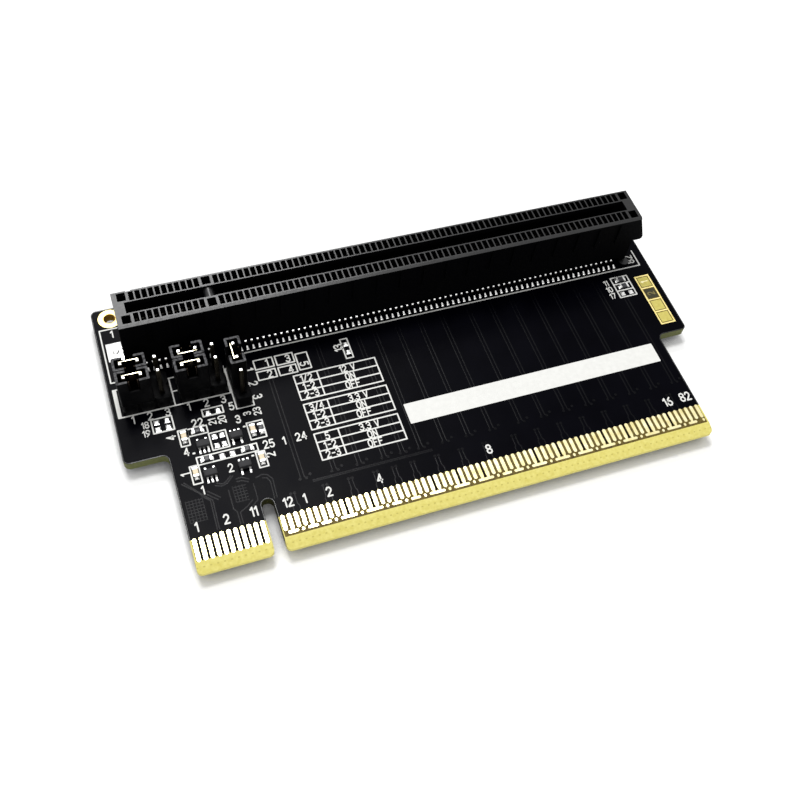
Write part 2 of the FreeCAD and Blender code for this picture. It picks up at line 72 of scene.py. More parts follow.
def card(x, y, z=0.0):
    """A point given in card millimetres, in the frame's metres."""
    return ORIGIN + MM * Vector((x, y, z))


print("card origin, mm:", [round(c / MM, 3) for c in ORIGIN], "board", round(BOARD_T, 2), "mm thick")

# %% [markdown]
# ## Camera
#
# The photograph looks down on the card from the front left, with the camera rolled so that the card's
# edge climbs to the right. Azimuth, elevation, roll and lens were solved from the corners of the board
# and the slot, so they are set as numbers. The aim gives a level camera, and the roll is one more turn
# about its own viewing axis.

# %% Camera
AZIMUTH = radians(26.926)
ELEVATION = radians(57.066)
ROLL = radians(9.321)
CAMERA_SPOT, CAMERA_LENS, NEAREST = (-2.004, -61.338, 130.823), 43.912, 0.01
aim = Vector((sin(AZIMUTH) * cos(ELEVATION), cos(AZIMUTH) * cos(ELEVATION), -sin(ELEVATION)))
bpy.ops.object.camera_add(location=card(*CAMERA_SPOT))
camera = bpy.context.object
camera.name = "camera"
camera.rotation_mode = "QUATERNION"
camera.rotation_quaternion = aim.to_track_quat("-Z", "Y") @ Quaternion((0, 0, 1), ROLL)
camera.data.sensor_fit = "HORIZONTAL"
camera.data.lens = CAMERA_LENS
camera.data.clip_start = NEAREST
bpy.context.scene.camera = camera
print("camera at, mm:", [round(c / MM, 1) for c in camera.location])

# %% [markdown]
# ## Finishes
#
# A finish is a small network of nodes. Two helpers are enough to write one down: the first turns the
# hex colour that a colour picker shows into the linear numbers a shader needs, and the second adds one
# node with its settings and its inputs, an input being either a number or another node's output. Most
# finishes here wander a little in colour, gloss and relief, so one more function writes that, and another
# lays a second colour over part of a finish.

# %% Colour and node helpers
def to_linear(hex_colour):
    """An sRGB hex colour as linear RGBA."""
    parts = [int(hex_colour[i:i + 2], 16) / 255 for i in (1, 3, 5)]
    return [c / 12.92 if c <= 0.04045 else ((c + 0.055) / 1.055) ** 2.4 for c in parts] + [1.0]


def add(tree, kind, settings, inputs):
    """Add one shader node; an input is a number, a colour or another node's output."""
    made = tree.nodes.new("ShaderNode" + kind)
    for name, value in settings.items():
        setattr(made, name, value)
    for name, value in inputs.items():
        if isinstance(value, bpy.types.NodeSocket):
            tree.links.new(value, made.inputs[name])
        else:
            made.inputs[name].default_value = value
    return made


print("white in linear light:", to_linear("#ffffff"))

# %% Finish helpers
NOISE_LOW, NOISE_HIGH, NOISE_DETAIL = 0.3, 0.7, 4.0


def surface(name, deep, pale, grain, rough, bump, metallic=0.0, specular=0.5):
    """A finish whose colour, gloss and relief all wander with one noise of `grain` millimetres."""
    finish = bpy.data.materials.new(name)
    finish.use_nodes = True
    tree = finish.node_tree
    shader = tree.nodes["Principled BSDF"]
    shader.inputs["Metallic"].default_value = metallic
    shader.inputs["Specular IOR Level"].default_value = specular
    place = add(tree, "TexCoord", {}, {}).outputs["Object"]
    noise = add(tree, "TexNoise", {}, {"Vector": place, "Scale": 1 / (grain * MM), "Detail": NOISE_DETAIL})
    wander = add(tree, "MapRange", {}, {"Value": noise.outputs["Fac"],
                                        "From Min": NOISE_LOW, "From Max": NOISE_HIGH})
    colour = add(tree, "Mix", {"data_type": "RGBA"},
                 {0: wander.outputs["Result"], 6: to_linear(deep), 7: to_linear(pale)})
    gloss = add(tree, "MapRange", {}, {"Value": wander.outputs["Result"],
                                       "To Min": rough[0], "To Max": rough[1]})
    relief = add(tree, "Bump", {}, {"Height": noise.outputs["Fac"], "Distance": bump * MM})
    tree.links.new(colour.outputs[2], shader.inputs["Base Color"])
    tree.links.new(gloss.outputs["Result"], shader.inputs["Roughness"])
    tree.links.new(relief.outputs["Normal"], shader.inputs["Normal"])
    return finish


def layered(finish, share, colour, blend="MIX"):
    """Lay a colour, or another node's output, over a finish's own colour by a share."""
    tree = finish.node_tree
    base = tree.nodes["Principled BSDF"].inputs["Base Color"]
    mixed = add(tree, "Mix", {"data_type": "RGBA", "blend_type": blend},
                {0: share, 6: base.links[0].from_socket, 7: colour})
    tree.links.new(mixed.outputs[2], base)


print("a finish wanders between noise", NOISE_LOW, "and", NOISE_HIGH)

# %% [markdown]
# ## Floor and light
#
# The card lies on a plain white table under three soft lamps. One hangs above the left half, and its
# reflection bleaches the first fingers and greys the mask there. One is like a window at the back, which
# the slot's deck and the rear corner mirror, and a weaker one in front draws the light line along the
# slot's lip. The rest is an even white room. It counts as full white only for what the eye sees directly
# or in a reflection, and as a plain lower level for lighting, so that white stays white without burning
# out the card. The floor glows for the eye in the same way, more with distance, and a painted contact
# shadow darkens its colour and its glow in the narrow gap below the card's edges.

# %% World
ROOM_LIGHT = 0.36


def directly_seen(tree):
    """1 for what the eye sees itself, in a reflection or through glass, 0 for plain lighting."""
    path = add(tree, "LightPath", {}, {})
    seen = path.outputs["Is Camera Ray"]
    for kind in ("Is Glossy Ray", "Is Transmission Ray"):
        seen = add(tree, "Math", {"operation": "MAXIMUM"}, {0: seen, 1: path.outputs[kind]}).outputs[0]
    return seen


world = bpy.data.worlds.new("white_room")
bpy.context.scene.world = world
world.use_nodes = True
tree = world.node_tree
level = add(tree, "MapRange", {}, {"Value": directly_seen(tree), "To Min": ROOM_LIGHT, "To Max": 1.0})
tree.links.new(level.outputs["Result"], tree.nodes["Background"].inputs["Strength"])
tree.nodes["Background"].inputs["Color"].default_value = to_linear("#ffffff")
bpy.context.scene.view_settings.view_transform = "Standard"
print("room light", ROOM_LIGHT)

# %% Lamps
LAMPS = (("ceiling_lamp", (0.184, 0.08), card(13, 169, 400), 0.94),
         ("window_lamp", (0.18, 0.10), card(41, 374, 400), 1.0),
         ("front_lamp", (0.18, 0.10), card(20, -358, 323), 0.65))
LAMP_AIM = card(40, 20)
for name, size, place, power in LAMPS:
    bpy.ops.object.light_add(type="AREA", location=place)
    lamp = bpy.context.object
    lamp.name = name
    lamp.data.shape = "RECTANGLE"
    lamp.data.size, lamp.data.size_y = size
    lamp.data.energy = power
    lamp.rotation_mode = "QUATERNION"
    lamp.rotation_quaternion = (LAMP_AIM - place).to_track_quat("-Z", "Y")
    print(name, size, "m,", power, "W")

# %% Floor
FLOOR_SIZE = 6.0
NEAR_GLOW, FAR_GLOW = 0.11, 0.62
GLOW_FROM, GLOW_TO = 0.1, 1.0
GAP_REACH, GAP_RAYS, GAP_SHADE = 3.0, 4, 0.1
GAP_HIDDEN, GAP_OPEN = 0.38, 0.64
bpy.ops.mesh.primitive_plane_add(size=FLOOR_SIZE, location=(0, 0, 0))
floor = bpy.context.object
floor.name = "floor"
# Painted white board: an even matt white that takes a soft shadow.
paper = surface("white_board", "#f6f6f6", "#fafafa", 40.0, (0.85, 0.95), 0.01, specular=0.0)
tree = paper.node_tree
spread = add(tree, "VectorMath", {"operation": "LENGTH"},
             {0: add(tree, "TexCoord", {}, {}).outputs["Object"]})
fill = add(tree, "MapRange", {}, {"Value": spread.outputs["Value"], "From Min": GLOW_FROM,
                                  "From Max": GLOW_TO, "To Min": NEAR_GLOW, "To Max": FAR_GLOW})
glow = add(tree, "Math", {"operation": "MULTIPLY"}, {0: directly_seen(tree), 1: fill.outputs["Result"]})
# Painted contact shadow: the share of a near half-sphere that is open above a point of the floor
# scales down the floor's glow and its colour.
sky = add(tree, "AmbientOcclusion", {"samples": GAP_RAYS}, {"Distance": GAP_REACH * MM})
shade = add(tree, "MapRange", {}, {"Value": sky.outputs["AO"], "From Min": GAP_HIDDEN,
                                   "From Max": GAP_OPEN, "To Min": GAP_SHADE})
glow = add(tree, "Math", {"operation": "MULTIPLY"}, {0: glow.outputs[0], 1: shade.outputs["Result"]})
# The same painted shadow darkens the floor's own colour.
layered(paper, 1.0, shade.outputs["Result"], "MULTIPLY")
shader = tree.nodes["Principled BSDF"]
shader.inputs["Emission Color"].default_value = to_linear("#ffffff")
tree.links.new(glow.outputs[0], shader.inputs["Emission Strength"])
floor.data.materials.append(paper)
print("floor glow", NEAR_GLOW, "to", FAR_GLOW)

# %% [markdown]
# ## Board finishes
#
# The board is glass cloth set in epoxy. Its faces wear a black solder mask, a thin semi-gloss lacquer
# that shows a faint weave, gathers in a bead along the outline and goes grey where a lamp is mirrored.
# The routed sides are olive and show the plies of the cloth as fine level bands. The ground bevel along
# the card edge is clear yellow, with a faint dot between the fingers where an inner copper layer ends.

# %% Mask and laminate
WEAVE, WEAVE_RISE, WEAVE_SHOW = 0.5, 0.001, 0.3
# Solder mask: near black lacquer, softly shiny, slightly uneven over the cloth.
mask = surface("black_solder_mask", "#000003", "#020207", 6.0, (0.28, 0.36), 0.01, specular=0.025)
# Mask over copper: the same lacquer drawn thin over an edge, so a little glossier.
ridge = surface("mask_over_copper", "#010104", "#040408", 0.8, (0.24, 0.32), 0.004, specular=0.075)
# Mask along the outline: the bead where lacquer gathers before it dries, glossy.
bead = surface("lacquer_bead", "#060607", "#0c0c0e", 0.4, (0.24, 0.34), 0.004, specular=0.65)
# Ground glass epoxy of the bevel: clear yellow, matt, speckled by the ends of the fibres.
laminate = surface("ground_glass_epoxy", "#d2c666", "#e2d87e", 0.5, (0.5, 0.65), 0.01, specular=0.3)
# Routed glass epoxy of the sides: olive and darker, broken by the cutter.
routed = surface("routed_glass_epoxy", "#565a30", "#6e7242", 0.4, (0.55, 0.7), 0.02, specular=0.2)
# The same in the key notch, darkened as painted shade for the notch's shadowed end.
notch_shade = surface("notch_shade_glass_epoxy", "#26260f", "#3a3a1c", 0.4, (0.6, 0.7), 0.02, specular=0.1)
# The same cloth between the fingers, darker and browner than the bevel. Round the layer windows the
# same finish is laid as painted shade.
etched = surface("etched_glass_epoxy", "#3c2e0c", "#74642a", 0.5, (0.5, 0.65), 0.02, specular=0.2)
# Cloth in the layer window, seen against the copper below: bright straw, and dark over the second layer.
window_cloth = surface("window_glass_epoxy", "#bdb056", "#cfc36a", 0.6, (0.45, 0.6), 0.01, specular=0.3)

tree = mask.node_tree
shader = tree.nodes["Principled BSDF"]
place = add(tree, "TexCoord", {}, {}).outputs["Object"]
weave = add(tree, "TexChecker", {}, {"Vector": place, "Scale": 1 / (WEAVE * MM)})
old_bump = shader.inputs["Normal"].links[0].from_socket
cloth = add(tree, "Bump", {}, {"Height": weave.outputs["Fac"], "Distance": WEAVE_RISE * MM,
                               "Strength": WEAVE_SHOW, "Normal": old_bump})
tree.links.new(cloth.outputs["Normal"], shader.inputs["Normal"])
print("lacquer and cloth:", mask.name, ridge.name, bead.name, laminate.name, routed.name, etched.name)

# %% Plies and layer ends
# A wave texture repeats its bands every WAVE / scale.
WAVE = 0.314
PLY, PLY_WANDER, PLY_SHADE = 0.2, 1.5, 0.7
DOT_PITCH, DOT_SHARE = 1.0, 0.8
INNER_LAYER, LAYER_HALF = -0.22, 0.03
tree = routed.node_tree
place = add(tree, "TexCoord", {}, {}).outputs["Object"]
plies = add(tree, "TexWave", {"bands_direction": "Z"},
            {"Vector": place, "Scale": WAVE / (PLY * MM), "Distortion": PLY_WANDER})
depth = add(tree, "MapRange", {}, {"Value": plies.outputs["Fac"], "To Min": PLY_SHADE, "To Max": 1.0})
layered(routed, 1.0, depth.outputs["Result"], "MULTIPLY")

tree = laminate.node_tree
place = add(tree, "TexCoord", {}, {}).outputs["Object"]
split = add(tree, "SeparateXYZ", {}, {"Vector": place})
layer = add(tree, "Math", {"operation": "COMPARE"},
            {0: split.outputs["Z"], 1: card(0, 0, INNER_LAYER).z, 2: LAYER_HALF * MM})
ends = add(tree, "TexWave", {}, {"Vector": place, "Scale": WAVE / (DOT_PITCH * MM)})
dash = add(tree, "Math", {"operation": "GREATER_THAN"}, {0: ends.outputs["Fac"], 1: DOT_SHARE})
dots = add(tree, "Math", {"operation": "MULTIPLY"}, {0: layer.outputs[0], 1: dash.outputs[0]})
layered(laminate, dots.outputs[0], to_linear("#c2b65e"))
print("plies every", PLY, "mm, layer ends every", DOT_PITCH, "mm")

# %% Second layer in the window
SECOND_WINDOW, WINDOW_HALF = 23.2, 1.33
tree = window_cloth.node_tree
split = add(tree, "SeparateXYZ", {}, {"Vector": add(tree, "TexCoord", {}, {}).outputs["Object"]})
second = add(tree, "Math", {"operation": "COMPARE"},
             {0: split.outputs["Y"], 1: card(0, SECOND_WINDOW).y, 2: WINDOW_HALF * MM})
layered(window_cloth, second.outputs[0], to_linear("#2c290f"))
print("window finish:", window_cloth.name)

# %% [markdown]
# ## Metals
#
# Three metals are bright: thin gold over nickel on the edge fingers, the ring and the layer window, tin
# on leads, feet and pin tips, and solder, which is tin too but rounder and a little greyer. Contacts,
# pins and clips are bronze and brass darkened as painted shade, with painted highlights on the contacts'
# shoulders, in the pins' streaks and on the clips' tops. The tabs are near black above a foot of tin.
# Each keeps the standard metal reflection, so colour and roughness do the work.

# %% Metals
# Hard gold plate: pale warm gold, nearly a mirror but slightly satin.
gold = surface("hard_gold_plate", "#f3e6a4", "#fbf4ca", 1.2, (0.22, 0.34), 0.002, metallic=1.0)
# Flash gold on the ring and the window's frame: thinner and yellower, satin.
flash_gold = surface("flash_gold_plate", "#e0ce80", "#ecdc9c", 0.8, (0.42, 0.54), 0.002, metallic=1.0)
# Copper figures deep under the cloth: dull olive.
window_copper = surface("copper_under_cloth", "#6e653a", "#857b4c", 0.5, (0.5, 0.6), 0.004, specular=0.2)
# Copper plated down the wall of a hole, flashed with gold and out of the light: warm brown.
barrel_plate = surface("plated_barrel", "#b08a34", "#d2ae54", 0.5, (0.35, 0.5), 0.004, metallic=1.0)
# Tinned copper alloy: bright silver with a faint satin.
tin = surface("bright_tin", "#d6d6d4", "#f0f0ee", 0.8, (0.2, 0.34), 0.002, metallic=1.0)
# Contact strip: rolled bronze darkened as painted shade, with tin on the soldered foot and a band of
# painted highlight on the shoulder.
strip_shade_and_glint = surface("contact_strip", "#24221f", "#35332f", 0.8, (0.24, 0.38), 0.002, metallic=1.0)
# Drawn brass pins: darkened as painted shade, with a few brighter streaks of painted highlight.
pin_shade_and_glint = surface("shaded_drawn_brass", "#12110f", "#332f26", 0.5, (0.26, 0.4), 0.004, metallic=1.0)
# Spring bronze of the clips: dark brown as painted shade, with a pale painted highlight for the faces
# that look up.
bronze = surface("shaded_spring_bronze", "#120e0a", "#1e1812", 0.8, (0.2, 0.3), 0.002, metallic=1.0)
clip_highlight = surface("clip_top_highlight", "#efe6c0", "#faf4dc", 0.8, (0.2, 0.3), 0.002, metallic=1.0)
# Steel of the hold-down tab above its foot: near black.
dark_tab = surface("dark_tab_steel", "#0b0b0b", "#161615", 0.6, (0.4, 0.55), 0.004, metallic=1.0)
# Solder: frozen tin alloy, bright and rounded.
solder = surface("frozen_solder", "#d2d2d0", "#f2f2f0", 0.5, (0.24, 0.42), 0.01, metallic=1.0)
print("metals:", gold.name, tin.name, strip_shade_and_glint.name, pin_shade_and_glint.name, clip_highlight.name, solder.name)

# %% Tin on the feet and a painted highlight on the shoulders
# Distances from the slot's middle line: the foot, and the top of the shoulder under the wall, where
# a narrow band of painted highlight lies.
SLOT_Y = 34.8
FOOT_FROM, CREST, CREST_HALF = 3.9, 3.1, 0.07
tree = strip_shade_and_glint.node_tree
place = add(tree, "SeparateXYZ", {}, {"Vector": add(tree, "TexCoord", {}, {}).outputs["Object"]})
across = add(tree, "Math", {"operation": "SUBTRACT"}, {0: place.outputs["Y"], 1: card(0, SLOT_Y).y})
away = add(tree, "Math", {"operation": "ABSOLUTE"}, {0: across.outputs[0]})
foot = add(tree, "Math", {"operation": "GREATER_THAN"}, {0: away.outputs[0], 1: FOOT_FROM * MM})
# A narrow band at the top of each shoulder is a painted highlight; the foot beyond is tin.
crest_glint = add(tree, "Math", {"operation": "COMPARE"},
            {0: away.outputs[0], 1: CREST * MM, 2: CREST_HALF * MM})
tin_and_glint = add(tree, "Math", {"operation": "MAXIMUM"}, {0: foot.outputs[0], 1: crest_glint.outputs[0]})
layered(strip_shade_and_glint, tin_and_glint.outputs[0], to_linear("#eaeae8"))
print("tinned beyond", FOOT_FROM, "mm and at", CREST, "mm from the middle of the slot")

# %% [markdown]
# ## Mouldings and ceramics
#
# The slot, the header blocks and the caps are glass-filled nylon, black and finely matt from the mould.
# Chip bodies are a greyer moulded epoxy. Capacitors are fired ceramic, cream and smooth, and resistors a
# dark glaze over white ceramic. Mould texture is a tenth of a millimetre or less, which is about what
# one pixel shows here, so it is drawn at 0.15 to 0.4 mm.

# %% Mouldings and ceramics
# Glass-filled nylon of the slot walls: deep black, evenly matt.
slot_nylon = surface("matt_black_nylon", "#030304", "#060607", 0.25, (0.5, 0.6), 0.004, specular=0.01)
# Top of the slot, from the polished side of the mould: grey where a lamp is mirrored.
deck_nylon = surface("polished_black_nylon", "#0a0a0b", "#131314", 0.25, (0.28, 0.36), 0.001,
                     specular=0.4)
# Bevelled lip of the slot, rubbed by the mould's parting edge: the glossiest part of it.
lip_nylon = surface("glossy_black_nylon", "#0a0a0b", "#131314", 0.25, (0.26, 0.34), 0.001,
                    specular=0.52)
# Tops of the caps: mottled by the grain, and grey as painted light on the faces that look up.
cap_grain_and_light = surface("grained_nylon_painted_grey", "#121213", "#6a6a6c", 0.4, (0.5, 0.65), 0.01, specular=0.1)
# Header and cap nylon: black, a little smoother.
header_nylon = surface("smooth_black_nylon", "#030304", "#070708", 0.3, (0.36, 0.46), 0.004,
                       specular=0.03)
# Chip epoxy: dark grey, dull and finely grained.
epoxy = surface("chip_moulding_epoxy", "#202022", "#303032", 0.15, (0.5, 0.65), 0.008, specular=0.2)
# Capacitor ceramic: fired cream, smooth.
ceramic = surface("fired_cream_ceramic", "#d8c6a2", "#ecdcc0", 0.4, (0.35, 0.5), 0.004, specular=0.4)
# Resistor glaze: dark grey glass.
glaze = surface("dark_resistor_glaze", "#26262a", "#3c3c40", 0.3, (0.25, 0.4), 0.004, specular=0.3)
# Legend ink: flat white epoxy ink, a touch uneven where the screen left it thin.
ink = surface("white_legend_ink", "#dededa", "#e6e6e2", 0.8, (0.5, 0.65), 0.002, specular=0.3)
print("mouldings:", slot_nylon.name, header_nylon.name, epoxy.name, ceramic.name, glaze.name, ink.name)

# %% [markdown]
# ## Dressing the CAD nodes
#
# The nodes whose shape is already right only need their finish. A table of name beginnings and finishes
# is shorter than a line for each of the 48 nodes, and a node that no line fits stops the script.

# %% Dress the nodes
NODE_FINISHES = {
    "circuit_board": mask, "hole_rings": flash_gold, "edge_fingers": gold,
    "layer_window_frame": flash_gold, "layer_windows": window_cloth, "slot_housing": slot_nylon,
    "slot_contacts": tin, "hold_down": tin, "header_block": header_nylon, "header_pins": pin_shade_and_glint,
    "jumper_cap": header_nylon, "jumper_clip": bronze, "logic_chip": epoxy, "chip_leads": tin,
    "capacitor_terminals": solder, "capacitor": ceramic, "resistor_terminals": solder,
    "resistor": glaze, "solder_lands": solder,
}
for name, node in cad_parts.items():
    start = next(key for key in NODE_FINISHES if name.startswith(key))
    node.data.materials.clear()
    node.data.materials.append(NODE_FINISHES[start])
print("dressed", len(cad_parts), "nodes")

# %% [markdown]
# ## Modelling helpers
#
# An operator acts on everything that is selected, so each step starts from nothing selected. Faces and
# edges are picked by where they are, in card millimetres, or by how nearly their normal keeps to an
# axis, and what repeats is modelled once and copied. The last helper gives a finished piece its material
# and fixes it to the card.

# %% Start and select
def fresh():
    """Object mode with nothing selected."""
    if bpy.context.mode != "OBJECT":
        bpy.ops.object.mode_set(mode="OBJECT")
    bpy.ops.object.select_all(action="DESELECT")


def activate(piece):
    """Select one piece alone."""
    fresh()
    piece.select_set(True)
    bpy.context.view_layer.objects.active = piece


def block(name, low, high, turn=0.0):
    """A cube primitive between two corners in card millimetres, turned about its own middle."""
    fresh()
    low, high = card(*low), card(*high)
    bpy.ops.mesh.primitive_cube_add(size=1, location=(low + high) / 2, scale=high - low,
                                    rotation=(0, 0, turn))
    bpy.ops.object.transform_apply()
    bpy.context.object.name = name
    return bpy.context.object


def pick(piece, kind, wanted):
    """Enter edit mode and select the parts whose middle, in card millimetres, passes the test."""
    activate(piece)
    bpy.ops.object.mode_set(mode="EDIT")
    bpy.ops.mesh.select_mode(type=kind)
    bpy.ops.mesh.select_all(action="DESELECT")
    shape = bmesh.from_edit_mesh(piece.data)
    for part in {"VERT": shape.verts, "EDGE": shape.edges, "FACE": shape.faces}[kind]:
        corners = [part.co] if kind == "VERT" else [v.co for v in part.verts]
        middle = (sum(corners, Vector()) / len(corners) - ORIGIN) / MM
        part.select_set(bool(wanted(middle, part)))
    shape.select_flush_mode()
    bmesh.update_edit_mesh(piece.data)


print("selected at the start:", len(bpy.context.selected_objects))

# %% Copy, paint and join
MERGE, FACING = 0.001, 0.9


def cad_copy(name, node, finishes):
    """A copy of a CAD node to work on, in its own finishes: loose triangles merged, fixed normals freed."""
    piece = bpy.data.objects.new(name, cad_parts[node].data.copy())
    bpy.context.collection.objects.link(piece)
    activate(piece)
    bpy.ops.mesh.customdata_custom_splitnormals_clear()
    pick(piece, "VERT", lambda middle, part: True)
    bpy.ops.mesh.remove_doubles(threshold=MERGE * MM)
    piece.data.materials.clear()
    for finish in finishes:
        piece.data.materials.append(finish)
    return piece


def paint(piece, index, wanted):
    """Give the faces that pass the test one of the piece's own finishes."""
    pick(piece, "FACE", wanted)
    piece.active_material_index = index
    bpy.ops.object.material_slot_assign()
    fresh()


def upright(middle, edge):
    """True for an edge that stands straight up."""
    run = edge.verts[1].co - edge.verts[0].co
    return abs(run.z) > FACING * run.length


def placed(pattern, matrix):
    """A copy of a pattern with its own mesh, moved by a matrix."""
    twin = pattern.copy()
    twin.data = pattern.data.copy()
    twin.data.transform(matrix)
    bpy.context.collection.objects.link(twin)
    return twin


def copies(pattern, shifts):
    """A copy at each shift in card millimetres, in place of the pattern."""
    made = [placed(pattern, Matrix.Translation(MM * Vector(shift))) for shift in shifts]
    bpy.data.objects.remove(pattern)
    return made


def join(name, pieces):
    """Several shapes made one mesh."""
    fresh()
    for piece in pieces:
        piece.select_set(True)
    bpy.context.view_layer.objects.active = pieces[0]
    bpy.ops.object.join()
    pieces[0].name = name
    pieces[0].data.name = name
    return pieces[0]


print("copies are merged within", MERGE, "mm")

# %% Keep a finished piece
SMOOTH_TURN = radians(35)


def keep(piece, finish):
    """Give a finished piece its material, smooth its shallow edges and fix it to the card."""
    activate(piece)
    if finish:
        piece.data.materials.clear()
        piece.data.materials.append(finish)
    bpy.ops.object.shade_smooth_by_angle(angle=SMOOTH_TURN)
    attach(piece, "root")
    print(piece.name, len(piece.data.polygons), "faces")
    return piece


print("smooth up to", round(SMOOTH_TURN, 2), "radians")

# %% [markdown]
# ## Board with its mask
#
# On the real board the mask stops short of the fingers. A material alone could only guess at that border,
# so the board is a copy of the CAD node that is bisected where the mask and the etched field end, and the
# faces on each side get their own finish.

# %% Board with its mask
LEVEL, STEEP = 0.99, 0.1
BEVEL_Y = -3.75
MASK_END = -0.12
ETCH_END = -3.52
ETCH_SIDES = (-0.4, 10.4, 12.6, 83.4)
NOTCH_X, NOTCH_Y = (10.3, 12.7), 6.0
board = cad_copy("masked_board", "circuit_board", (laminate, mask, routed, etched, notch_shade))
bpy.ops.mesh.bisect(plane_co=card(0, MASK_END), plane_no=(0, 1, 0))
bpy.ops.mesh.select_all(action="SELECT")
bpy.ops.mesh.bisect(plane_co=card(0, ETCH_END), plane_no=(0, 1, 0))
for x in ETCH_SIDES:
    bpy.ops.mesh.select_all(action="SELECT")
    bpy.ops.mesh.bisect(plane_co=card(x, 0), plane_no=(1, 0, 0))


def etched_face(middle, face):
    """True for a flat face between the fingers."""
    beside = [side < middle.x for side in ETCH_SIDES]
    return abs(face.normal.z) > LEVEL and ETCH_END < middle.y < MASK_END and sum(beside) % 2 == 1


def side_face(middle, face):
    """True for a face of the routed outline."""
    return abs(face.normal.z) < STEEP and middle.y > BEVEL_Y


paint(board, 1, lambda middle, face: abs(face.normal.z) > LEVEL and middle.y > MASK_END)
paint(board, 2, side_face)
paint(board, 3, etched_face)
# Painted shade: the routed sides at the key notch's end take the darkened finish.
paint(board, 4, lambda middle, face: (side_face(middle, face) and middle.y < NOTCH_Y
                                      and NOTCH_X[0] < middle.x < NOTCH_X[1]))
keep(board, None)
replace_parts(board, "circuit_board")

# %% [markdown]
# ## Gold edge fingers
#
# Each finger is a strip of plated copper with round ends. The first eleven run down to the bevel, the
# later signal fingers stop sooner, and ground fingers go on through a narrow neck into a bar that joins
# neighbours. One finger is a cube whose four upright edges are bevelled until the ends are round; it is
# copied along the card, and the bars, necks and spots are made the same way.

# %% Finger places
PITCH = 1.0
COPPER = 0.05
# How far a piece reaches into what carries it, so that no gap shows.
SINK = 0.01
GROUND_GROUPS = ([13], [16], [18], [21, 22], [25, 26], [29], [32], [35, 36], [39, 40], [43, 44], [47],
                 [49], [52, 53], [56, 57], [60, 61], [64, 65], [68, 69], [72, 73], [76, 77], [80])
LONG, SHORT = 3.7, 2.55
FLAT_HALF = 0.285
END_ROUND = 0.96
NECK_HALF, NECK_LOW, NECK_HIGH = 0.2, 0.1, 0.35
BAR_Y, BAR_W, BAR_REACH = -2.94, 0.44, 0.78
SPOT_HALF, SPOT_REACH, SPOT_GAP = 0.2, 0.26, 3
# Bars and necks lie a trace lower than the fingers that they run into.
BAR_DROP, NECK_DROP = 0.006, 0.012
KEY_GAP = 2
FIRST_GROUP, COUNT = 11, 82


def finger_x(number):
    """The middle of a finger, with two places left out after the eleventh for the key."""
    return (number - 1) * PITCH + (KEY_GAP * PITCH if number > FIRST_GROUP else 0.0)


def stadium(name, low, high, face_z=0.0, rise=COPPER):
    """A thin strip with round ends lying on the board at a height."""
    strip = block(name, (*low, face_z - SINK), (*high, face_z + rise))
    radius = min(high[0] - low[0], high[1] - low[1]) / 2
    pick(strip, "EDGE", upright)
    bpy.ops.mesh.bevel(offset=END_ROUND * radius * MM, segments=3)
    fresh()
    return strip


def along(pattern, places):
    """Copies of a pattern at places along the card."""
    return copies(pattern, [(x, 0, 0) for x in places])


print("last finger at", finger_x(COUNT), "mm")

# %% Fingers, bars and spots of the upper face
fingers = []
long_finger = stadium("finger", (-FLAT_HALF, -LONG), (FLAT_HALF, 0))
fingers += along(long_finger, map(finger_x, range(1, FIRST_GROUP + 1)))
short_finger = stadium("finger", (-FLAT_HALF, -SHORT), (FLAT_HALF, 0))
fingers += along(short_finger, map(finger_x, range(FIRST_GROUP + 1, COUNT + 1)))
neck = stadium("neck", (-NECK_HALF, BAR_Y - NECK_LOW), (NECK_HALF, NECK_HIGH - SHORT),
               rise=COPPER - NECK_DROP)
fingers += along(neck, [finger_x(n) for group in GROUND_GROUPS for n in group])
for group in GROUND_GROUPS:
    fingers.append(stadium("bar", (finger_x(group[0]) - BAR_REACH, BAR_Y - BAR_W / 2),
                           (finger_x(group[-1]) + BAR_REACH, BAR_Y + BAR_W / 2), rise=COPPER - BAR_DROP))
ends = [finger_x(group[-1]) for group in GROUND_GROUPS]
starts = [finger_x(group[0]) for group in GROUND_GROUPS]
spots = [(a + b) / 2 for a, b in zip(ends, starts[1:]) if b - a == SPOT_GAP * PITCH]
spots.append(finger_x(COUNT))
spot = stadium("spot", (-SPOT_HALF, BAR_Y - SPOT_REACH), (SPOT_HALF, BAR_Y + SPOT_REACH))
fingers += along(spot, spots)
top_fingers = join("gold_fingers_top", fingers)
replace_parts(keep(top_fingers, gold), "edge_fingers_top")

# %% Fingers of the lower face
low_finger = stadium("finger", (-FINGER_HALF, -LONG), (FINGER_HALF, 0), SINK - COPPER - BOARD_T)
low_fingers = along(low_finger, map(finger_x, range(1, COUNT + 1)))
bottom_fingers = join("gold_fingers_bottom", low_fingers)
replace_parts(keep(bottom_fingers, gold), "edge_fingers_bottom")

# %% [markdown]
# ## Mask between fingers
#
# The lacquer also runs in thin webs between the first eleven fingers and between the two fingers of
# each ground pair. They are what makes those gaps black while the others show bare cloth.

# %% Mask webs
WEB_W, WEB_T = 0.27, 0.025
WEB_LAP, WEB_TOP = 0.1, 0.3
webs = []
long_web = stadium("web", (-WEB_W / 2, WEB_LAP - LONG), (WEB_W / 2, WEB_TOP), rise=WEB_T)
webs += along(long_web, [finger_x(n) + PITCH / 2 for n in range(1, FIRST_GROUP)])
short_web = stadium("web", (-WEB_W / 2, -SHORT - WEB_LAP), (WEB_W / 2, WEB_TOP), rise=WEB_T)
webs += along(short_web, [finger_x(g[0]) + PITCH / 2 for g in GROUND_GROUPS if len(g) == 2])
keep(join("mask_webs", webs), mask)

# %% [markdown]
# ## Slot contacts
#
# A contact is a stamped strip: a foot soldered to the board, a shoulder just under the housing, a long
# spring and a nose that touches the card pushed in between the two rows. A strip like that is drawn as a
# ribbon, one edge extruded from bend to bend, and then given its thickness with Solidify. Two Array
# modifiers set the copies out on both sides of the key.

